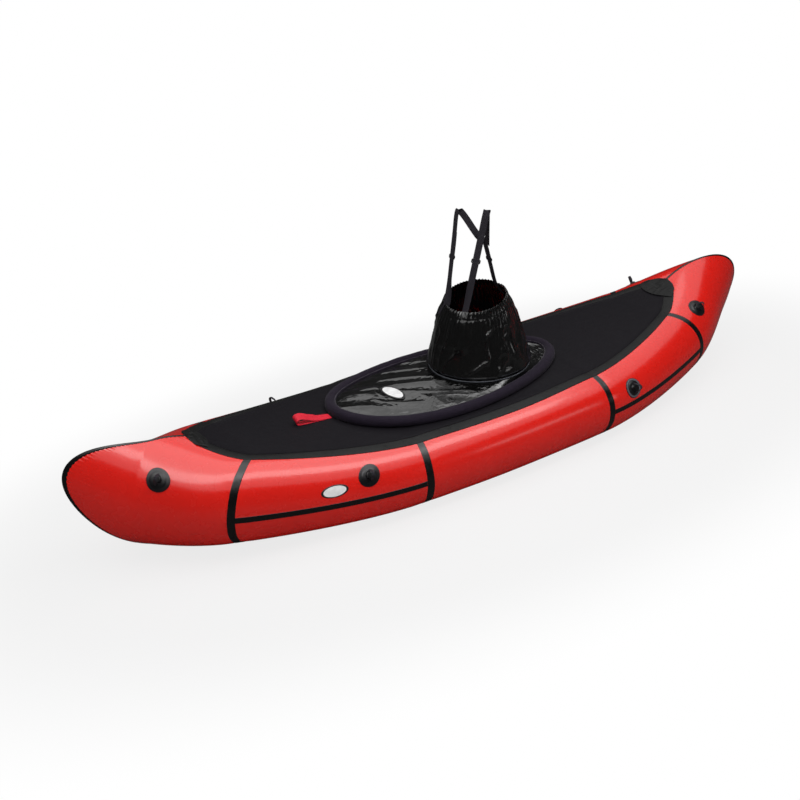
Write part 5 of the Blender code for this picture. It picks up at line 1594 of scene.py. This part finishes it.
def surface_frame(place, turn, lift):
    """A point on the tube, its along, round and outward directions, and its scale."""
    reach = 1e-3
    point = skin(place, turn, lift)
    along = skin(place + reach, turn, lift) - skin(place - reach, turn, lift)
    round_way = skin(place, turn + reach, lift) - skin(place, turn - reach, lift)
    outward_way = unit(np.cross(along, round_way))
    if outward_way.dot(skin(place, turn, lift + reach) - point) < 0:
        outward_way = -outward_way
    u = unit(along)
    v = np.cross(outward_way, u)
    if v.dot(round_way) < 0:
        v = -v
    return point, u, v, outward_way, np.linalg.norm(along) / (2 * reach)


def laid_on_tube(profile, place, turn, lift, steps):
    """Rings of a turned shape whose base follows the tube's skin."""
    speed = surface_frame(place, turn, lift)[4]
    radius_there = float(station(place)[3])
    angle = circle_angles(steps)
    return np.stack([
        skin(place + radius * np.cos(angle) / speed,
             turn + radius * np.sin(angle) / radius_there, lift + height)
        for radius, height in profile
    ])


def pad(side, port, name, place, turn, pale_ring):
    """A lashing pad with its bored knob, and its loop."""
    on_nose = place > BOW_JOINT
    lift = NOSE_PAD_LIFT if on_nose else PAD_LIFT
    rings = laid_on_tube([*PAD_PROFILE, *KNOB_PROFILE], place, turn, lift, 96)
    disc = build(f"{side}_{name}_pad", tube_form(mirrored(rings, port)), RUBBER_BLACK)
    point, u, v, outward_way, _ = surface_frame(place, turn, FRAME_PAD_LIFTS[on_nose])
    middle = point + outward_way * LOOP_AXIS_HEIGHT
    bore_ring = middle + LOOP_BORE_RADIUS * spokes(circle_angles(20), u, outward_way)
    bore = np.stack([bore_ring + v * end for end in (-PAD_RADIUS, PAD_RADIUS)])
    cut_out(disc, tube_form(mirrored(bore, port)))
    shaded(disc.data)
    if pale_ring:
        pale = mirrored(laid_on_tube(PALE_RING_PROFILE, place, turn, lift, 96), port)
        build(f"{side}_{name}_pad_ring", closed_ring_sheet(pale), RING_GREY, "hull",
              "moulded_rubber")
    loop(f"{side}_{name}_loop", port, middle, u, v, outward_way)


def loop(name, port, middle, u, v, outward_way):
    """A loop of tape: round in the bore, and flatter and wider where it stands free."""
    shape = closed_line(LOOP_SHAPE)
    knots = line_lengths((shape * (LOOP_HALF_WIDTH, LOOP_LENGTH))[:, None])[:, 0]
    flat = through(knots, shape, np.linspace(0, knots[-1], 121)[:-1])
    centre = middle + flat[:, :1] * LOOP_HALF_WIDTH * v + flat[:, 1:] * LOOP_LENGTH * outward_way
    across = np.cross(way_along(centre), u)[:, None]
    free = np.clip((flat[:, 1] - 0.12) / 0.3, 0, 1)[:, None, None]
    wide = LOOP_WIRE_RADIUS * (1 + LOOP_WIDENING * free)
    thin = LOOP_WIRE_RADIUS * (1 - LOOP_THINNING * free)
    rings = centre[:, None] + spokes(circle_angles(12), thin * across, wide * u)
    build(name, closed_ring_sheet(mirrored(rings, port)), STRAP_BLACK, name)


for side, port in SIDES:
    for name, place, turn_share, pale_ring in PAD_SHARES:
        pad(side, port, name, place, turn_share * RIGHT_ANGLE, pale_ring)

VALVE_PLACE = 0.262
VALVE_TURN = 0.40 * RIGHT_ANGLE
VALVE_FLANGE_RADIUS = 0.031
VALVE_FLANGE_THICKNESS = 0.0016
VALVE_COLLAR_RADIUS = 0.0205
VALVE_COLLAR_HEIGHT = 0.0105
VALVE_BEVEL = 0.0007
VALVE_BORE_RADIUS = 0.0150
VALVE_CAP_THICKNESS = 0.0034
VALVE_CAP_OVERHANG = 0.0015
VALVE_GAP = 0.0005
VALVE_GRIP = 0.012
VALVE_GRIP_COUNT = 30
# The flange as shares of the way from its bore to its rim, and of its thickness
FLANGE_SHARES = ((0.0, 0.0), (0.98, 0.0), (1.0, 0.4), (0.97, 1.0), (0.85, 1.15), (0.70, 1.7))
# The collar above the flange, outside and then inside, as radius and height
COLLAR_PROFILE = (
    (VALVE_COLLAR_RADIUS + 0.0010, 0.0042), (VALVE_COLLAR_RADIUS, 0.0055),
    (VALVE_COLLAR_RADIUS, 0.0095), (VALVE_COLLAR_RADIUS - VALVE_BEVEL, VALVE_COLLAR_HEIGHT),
    (VALVE_BORE_RADIUS + VALVE_BEVEL, VALVE_COLLAR_HEIGHT), (VALVE_BORE_RADIUS, 0.0098),
)
# The cap as shares of its radius and of its thickness
CAP_SHARES = (
    (0.55, 0.0), (0.97, 0.0), (1.0, 0.10), (1.0, 0.62), (0.985, 0.82), (0.95, 0.96),
    (0.90, 1.0), (0.72, 1.0), (0.68, 0.86), (0.35, 0.86),
)
valve_point, valve_u, valve_v, valve_out, _ = surface_frame(VALVE_PLACE, VALVE_TURN, PAD_LIFT)


def valve_ring(radius, height, grip=0.0):
    """A flat ring round the valve's axis, with ripples for a grip."""
    turns = circle_angles(90)
    reach = radius * (1 + grip * np.cos(VALVE_GRIP_COUNT * turns))
    return valve_point + reach[:, None] * spokes(turns, valve_u, valve_v) + valve_out * height


flange = [
    (VALVE_BORE_RADIUS + (VALVE_FLANGE_RADIUS - VALVE_BORE_RADIUS) * reach,
     height * VALVE_FLANGE_THICKNESS)
    for reach, height in FLANGE_SHARES
]
base_rings = [*laid_on_tube(flange, VALVE_PLACE, VALVE_TURN, PAD_LIFT, 90),
              *(valve_ring(radius, height) for radius, height in COLLAR_PROFILE)]
build("valve_base", closed_ring_sheet(mirrored(np.stack(base_rings), False)), RUBBER_BLACK)
cap_rings = [
    valve_ring(
        (VALVE_COLLAR_RADIUS + VALVE_CAP_OVERHANG) * radius,
        VALVE_COLLAR_HEIGHT + VALVE_GAP + height * VALVE_CAP_THICKNESS,
        VALVE_GRIP if radius == 1.0 else 0.0)
    for radius, height in CAP_SHARES
]
build("valve_cap", tube_form(mirrored(np.stack(cap_rings), False)), PLASTIC_BLACK, "valve_cap")

# %% [markdown]
# ## End films and bare badges
#
# At both ends of the deck a piece of film laps from the deck onto the noses. It is laid by
# dropping a grid of points straight down onto the frame's own pieces, and it lies a little
# above them. Two oval badges are left bare: a white film with a black edge, one on the hull
# and one on the skirt.

# %% Lay the end films and the badges
FILM_LIFT = 0.0022
FILM_THICKNESS = 0.0007
FILM_WRINKLE = 0.0016
FILM_SINK = 0.0008
FILM_LAP = 0.003
FILM_FLARE = 0.35
FILM_SMOOTHING = 40
DROP_HEIGHT = 0.8
# Each end film's bulge past the line between the bands' corners, and its reach inward
FILM_SIZES = {False: (0.026, 0.060), True: (0.010, 0.050)}
BADGE_LIFT = 0.0009
BADGE_REACHES = (0.03, 0.15, 0.3, 0.45, 0.6, 0.72, 0.84)
# A badge's face and its edge, as shares of its half axes and of its lift
FACE_SECTION = [(reach, 0.5) for reach in BADGE_REACHES] + [
    (reach, -0.6) for reach in BADGE_REACHES[::-1]]
EDGE_SECTION = ((0.83, 0.4), (0.84, 0.9), (0.97, 0.9), (1.0, 0.4), (1.0, -0.7), (0.83, -0.7))
HULL_BADGE_PLACE = 0.7259
HULL_BADGE_TURN = 0.2466
HULL_BADGE_HALF_PLACE = 0.0091
HULL_BADGE_HALF_TURN = 0.098
HULL_BADGE_TILT = 0.0068
SKIRT_BADGE_LIFT = 0.0020


def drop_tree(names):
    """A search tree of the faces of these nodes of the frame, for dropping points onto."""
    points, faces = [], []
    for name in names:
        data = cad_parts[name].data
        faces += [[index + len(points) for index in face.vertices] for face in data.polygons]
        points += [vertex.co.copy() for vertex in data.vertices]
    return BVHTree.FromPolygons(points, faces)


def dropped(tree, x, y):
    """Heights of the first face straight below each point, or the lowest where none is."""
    heights = np.full(x.shape, np.nan)
    for index in np.ndindex(x.shape):
        start = Vector((x[index], y[index], DROP_HEIGHT))
        spot = tree.ray_cast(start, Vector((0.0, 0.0, -1.0)))[0]
        if spot is not None:
            heights[index] = spot.z
    return np.where(np.isnan(heights), np.nanmin(heights), heights)


def smoothed_over(heights):
    """Heights drawn smooth like a stretched film, never below where they were."""
    drawn = heights
    for _ in range(FILM_SMOOTHING):
        edged = np.pad(drawn, 1, mode="edge")
        mean = (edged[:-2, 1:-1] + edged[2:, 1:-1] + edged[1:-1, :-2] + edged[1:-1, 2:]) / 4
        drawn = np.maximum(heights, mean)
    return drawn


def end_film(toward_bow):
    """The film over one end of the deck."""
    end, sign = END_NAMES[toward_bow], NOSES[toward_bow][3]
    bulge, reach = FILM_SIZES[toward_bow]
    share = DECK_ENDS[toward_bow]
    corner = skin(share, deck_edge_turn(np.array([share]))[0])
    across = np.linspace(1, -1, 61)[None, :]
    along = np.linspace(0, 1, 40)[:, None]
    outer_x = corner[0] + sign * (FILM_LAP + bulge * (1 - across**2))
    inner_x = corner[0] - sign * (reach - 0.4 * reach * across**2)
    x = inner_x + (outer_x - inner_x) * along
    y = corner[1] * across * (1 + FILM_FLARE * (1 - along))
    tree = drop_tree([f"port_{end}_nose", f"starboard_{end}_nose", f"{end}_seam_tape", "deck",
                      "port_weld_band", "starboard_weld_band"])
    edge = np.minimum(np.minimum(along, 1 - along) * 12, np.minimum(1 - across, 1 + across) * 10)
    edge = np.clip(edge, 0, 1)
    height = smoothed_over(dropped(tree, x, y)) + FILM_LIFT
    height = height + ridged(x * 60 + 9, y * 40 + 5, 131) * FILM_WRINKLE * edge
    top, low = (
        np.stack([x, y, height - sink], axis=-1)
        for sink in (FILM_SINK * (1 - edge), FILM_SINK + FILM_THICKNESS * edge))
    build(f"{end}_end_film", sheet_form(top, low), WELD_FILM, "hull", "weld_band_film")


def badge(name, point_at, body, slot):
    """A bare oval badge: a white face in a black edge, laid through point_at."""
    turns = circle_angles(72)
    face_rings, edge_rings = (
        np.stack([
            point_at(reach * np.cos(turns), reach * np.sin(turns), height * BADGE_LIFT)
            for reach, height in section
        ])
        for section in (FACE_SECTION, EDGE_SECTION))
    build(name, tube_form(face_rings), BADGE_WHITE, body, slot)
    build(f"{name}_edge", closed_ring_sheet(edge_rings), BADGE_EDGE, body, slot)


def hull_badge_point(long_share, short_share, lift):
    """A point of the hull's badge on the port tube."""
    place = HULL_BADGE_PLACE + HULL_BADGE_HALF_PLACE * long_share
    turn = HULL_BADGE_TURN + HULL_BADGE_HALF_TURN * short_share - HULL_BADGE_TILT * long_share
    return skin(place, turn * RIGHT_ANGLE, lift)


def skirt_badge_point(long_share, short_share, lift):
    """A point of the skirt's badge, a little above the frame's own skirt."""
    x, y = (
        centre + long_part * long_share + short_part * short_share
        for centre, (long_part, short_part) in zip(SKIRT_BADGE_CENTRE, SKIRT_BADGE_AXES))
    return np.stack([x, y, dropped(SKIRT_TREE, x, y) + SKIRT_BADGE_LIFT + lift], axis=-1)


end_film(False)
end_film(True)
SKIRT_TREE = drop_tree(["skirt_deck"])
badge("hull_badge", hull_badge_point, "hull", "red_hull_cloth")
badge("skirt_badge", skirt_badge_point, "skirt", "wet_black_skirt_cloth")

# %% [markdown]
# ## Seat and backrest
#
# Both are air cushions: two cloths welded round the edge and along channels. Each starts
# as a thin crowned pad, is remeshed evenly, and is blown up by a cloth simulation. The
# welds hold the cloth back, so that it swells between them, and no point moves far.

# %% Blow up the cushions
SEAT_LENGTH = 0.375
SEAT_WIDTH = 0.272
SEAT_HEIGHT = 0.078
SEAT_CHANNELS = 3
BACKREST_CHANNELS = 2
CUSHION_SIDE_PULL = 0.06
CUSHION_EDGE = 0.0015
START_SHARE = 0.80
CUSHION_VOXEL = 0.006
AIR_PRESSURE = 4.0
CLOTH_FRAMES = 20
MOVE_CAP = 0.010
WELD_HALF_WIDTH = 0.010
WELD_DEPTH = 0.42
WELD_REACH = 0.19
# How far below its middle the seat is pressed flat, as a share of its height
FLAT_SHARE = 0.40


def cushion_pad(long, wide, high, steps=70):
    """A crowned pad whose sides pull in between its corners, thinner than its full height."""
    a, b = np.meshgrid(np.linspace(-1, 1, steps), np.linspace(-1, 1, steps), indexing="ij")
    x = a * (1 - CUSHION_SIDE_PULL * (1 - b**2)) * long / 2
    y = b * (1 - CUSHION_SIDE_PULL * (1 - a**2)) * wide / 2
    crown = np.sqrt(np.clip((1 - a**6) * (1 - b**6), 0, 1))
    half = CUSHION_EDGE + (high / 2 - CUSHION_EDGE) * START_SHARE * crown
    return sheet_form(np.stack([x, y, half], axis=-1), np.stack([x, y, -half], axis=-1))


def weld_hold(points, wide, channels):
    """0 on the welds of a cushion and 1 between them."""
    hold = np.ones(len(points))
    for number in range(1, channels):
        line = wide * (number / channels - 0.5)
        hold = np.minimum(hold, np.clip(np.abs(points[:, 1] - line) / WELD_HALF_WIDTH, 0, 1))
    return hold[:, None]


def read_points(mesh):
    """The points of a mesh."""
    values = np.empty(3 * len(mesh.vertices))
    mesh.vertices.foreach_get("co", values)
    return values.reshape(-1, 3)


def cloth_points(thing):
    """The thing's points after the cloth simulation."""
    cloth = thing.modifiers.new("cloth", "CLOTH")
    cloth.settings.use_pressure = True
    cloth.settings.uniform_pressure_force = AIR_PRESSURE
    cloth.settings.effector_weights.gravity = 0.0
    for step in range(1, CLOTH_FRAMES + 1):
        bpy.context.scene.frame_set(step)
    graph = bpy.context.evaluated_depsgraph_get()
    moved = read_points(thing.evaluated_get(graph).data)
    thing.modifiers.clear()
    bpy.context.scene.frame_set(1)
    return moved


def blown_up(form, wide, channels):
    """Points and faces of the form after the cloth simulation, with its welds pressed in."""
    cushion_object = added("pad", plain_mesh("pad", form[0].tolist(), form[1].tolist()))
    remesh = cushion_object.modifiers.new("remesh", "REMESH")
    remesh.mode = "VOXEL"
    remesh.voxel_size = CUSHION_VOXEL
    applied(cushion_object)
    start = read_points(cushion_object.data)
    move = cloth_points(cushion_object) - start
    length = np.linalg.norm(move, axis=1, keepdims=True)
    hold = weld_hold(start, wide, channels)
    result = start + move * np.minimum(1, MOVE_CAP * hold / np.maximum(length, 1e-9))
    inside_ends = np.clip(1 - (np.abs(start[:, 0]) / WELD_REACH) ** 6, 0, 1)
    result[:, 2] *= 1 - WELD_DEPTH * (1 - hold[:, 0]) ** 2 * inside_ends
    cushion_object.data.vertices.foreach_set("co", result.astype(np.float32).ravel())
    cushion_object.modifiers.new("finer", "SUBSURF").levels = 1
    applied(cushion_object)
    finished = cushion_object.data
    points = read_points(finished)
    faces = np.array([list(face.vertices) for face in finished.polygons])
    bpy.data.objects.remove(cushion_object)
    bpy.data.meshes.remove(finished)
    return points, faces


def cushion(name, body, sizes, channels, placed):
    """One air cushion, fitted to its frame node's box."""
    points, faces = blown_up(cushion_pad(*sizes), sizes[1], channels)
    least = points.min(axis=0)
    points = placed((points - least) / (points.max(axis=0) - least) - 0.5)
    low, high = (np.array(corner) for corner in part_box(name))
    points = (low + high) / 2 + points * (high - low)
    lengths = points[faces][..., [0, 1] if body == "hull" else [2, 1]]
    made = build(name, (points, faces, lengths), SEAT_CLOTH, body)
    return made


def lying(points):
    """The unit cushion as it lies, pressed flat beneath."""
    pressed = np.maximum(points[:, 2], -FLAT_SHARE)
    points[:, 2] = (pressed + FLAT_SHARE) / (0.5 + FLAT_SHARE) - 0.5
    return points


def standing(points):
    """The unit cushion turned to stand: its length goes up and its height fore and aft."""
    return points[:, ::-1]


seat_sizes = (SEAT_LENGTH, SEAT_WIDTH, SEAT_HEIGHT)
seat = cushion("seat_cushion", "hull", seat_sizes, SEAT_CHANNELS, lying)
back_low, back_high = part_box("backrest_cushion")
back_sizes = [back_high[axis] - back_low[axis] for axis in (2, 1, 0)]
cushion("backrest_cushion", "backrest", back_sizes, BACKREST_CHANNELS, standing)
print("seat faces", len(seat.data.polygons))

# %% [markdown]
# ## The cloth's cut sizes
#
# The deck, the floor, the skirt and the sleeve are sheets, and their cut sizes are
# measured along the finished cloth and printed with their areas.

def cut_size(grid, wrapped):
    """Greatest length across a grid's rows, and mean length along them."""
    across = np.swapaxes(grid, 0, 1)
    if wrapped:
        across = closed_line(across)
    return float(line_lengths(across)[-1].max()), float(line_lengths(grid)[-1].mean())


def declare_sheet(piece, grid, wrapped, flat=None, hole_area=0.0):
    """Print a sheet's name, its cut size and its area."""
    flat = flat or cut_size(grid, wrapped)
    area = sheet_area(grid, wrapped) - hole_area
    print(piece.name.removesuffix(".001"), "cut", np.round(flat, 3), "area", round(area, 3))


cockpit_area = math.pi * COCKPIT_HALF_LENGTH * COCKPIT_HALF_WIDTH
skirt_size = (2 * (COCKPIT_HALF_WIDTH - RIM_RADIUS), 2 * (COCKPIT_HALF_LENGTH - RIM_RADIUS))
declare_sheet(deck, deck_top, False, hole_area=cockpit_area)
declare_sheet(floor_sheet, floor_top, False)
declare_sheet(skirt_deck, skirt_grid, True, skirt_size)
declare_sheet(sleeve, sleeve_outer, True)
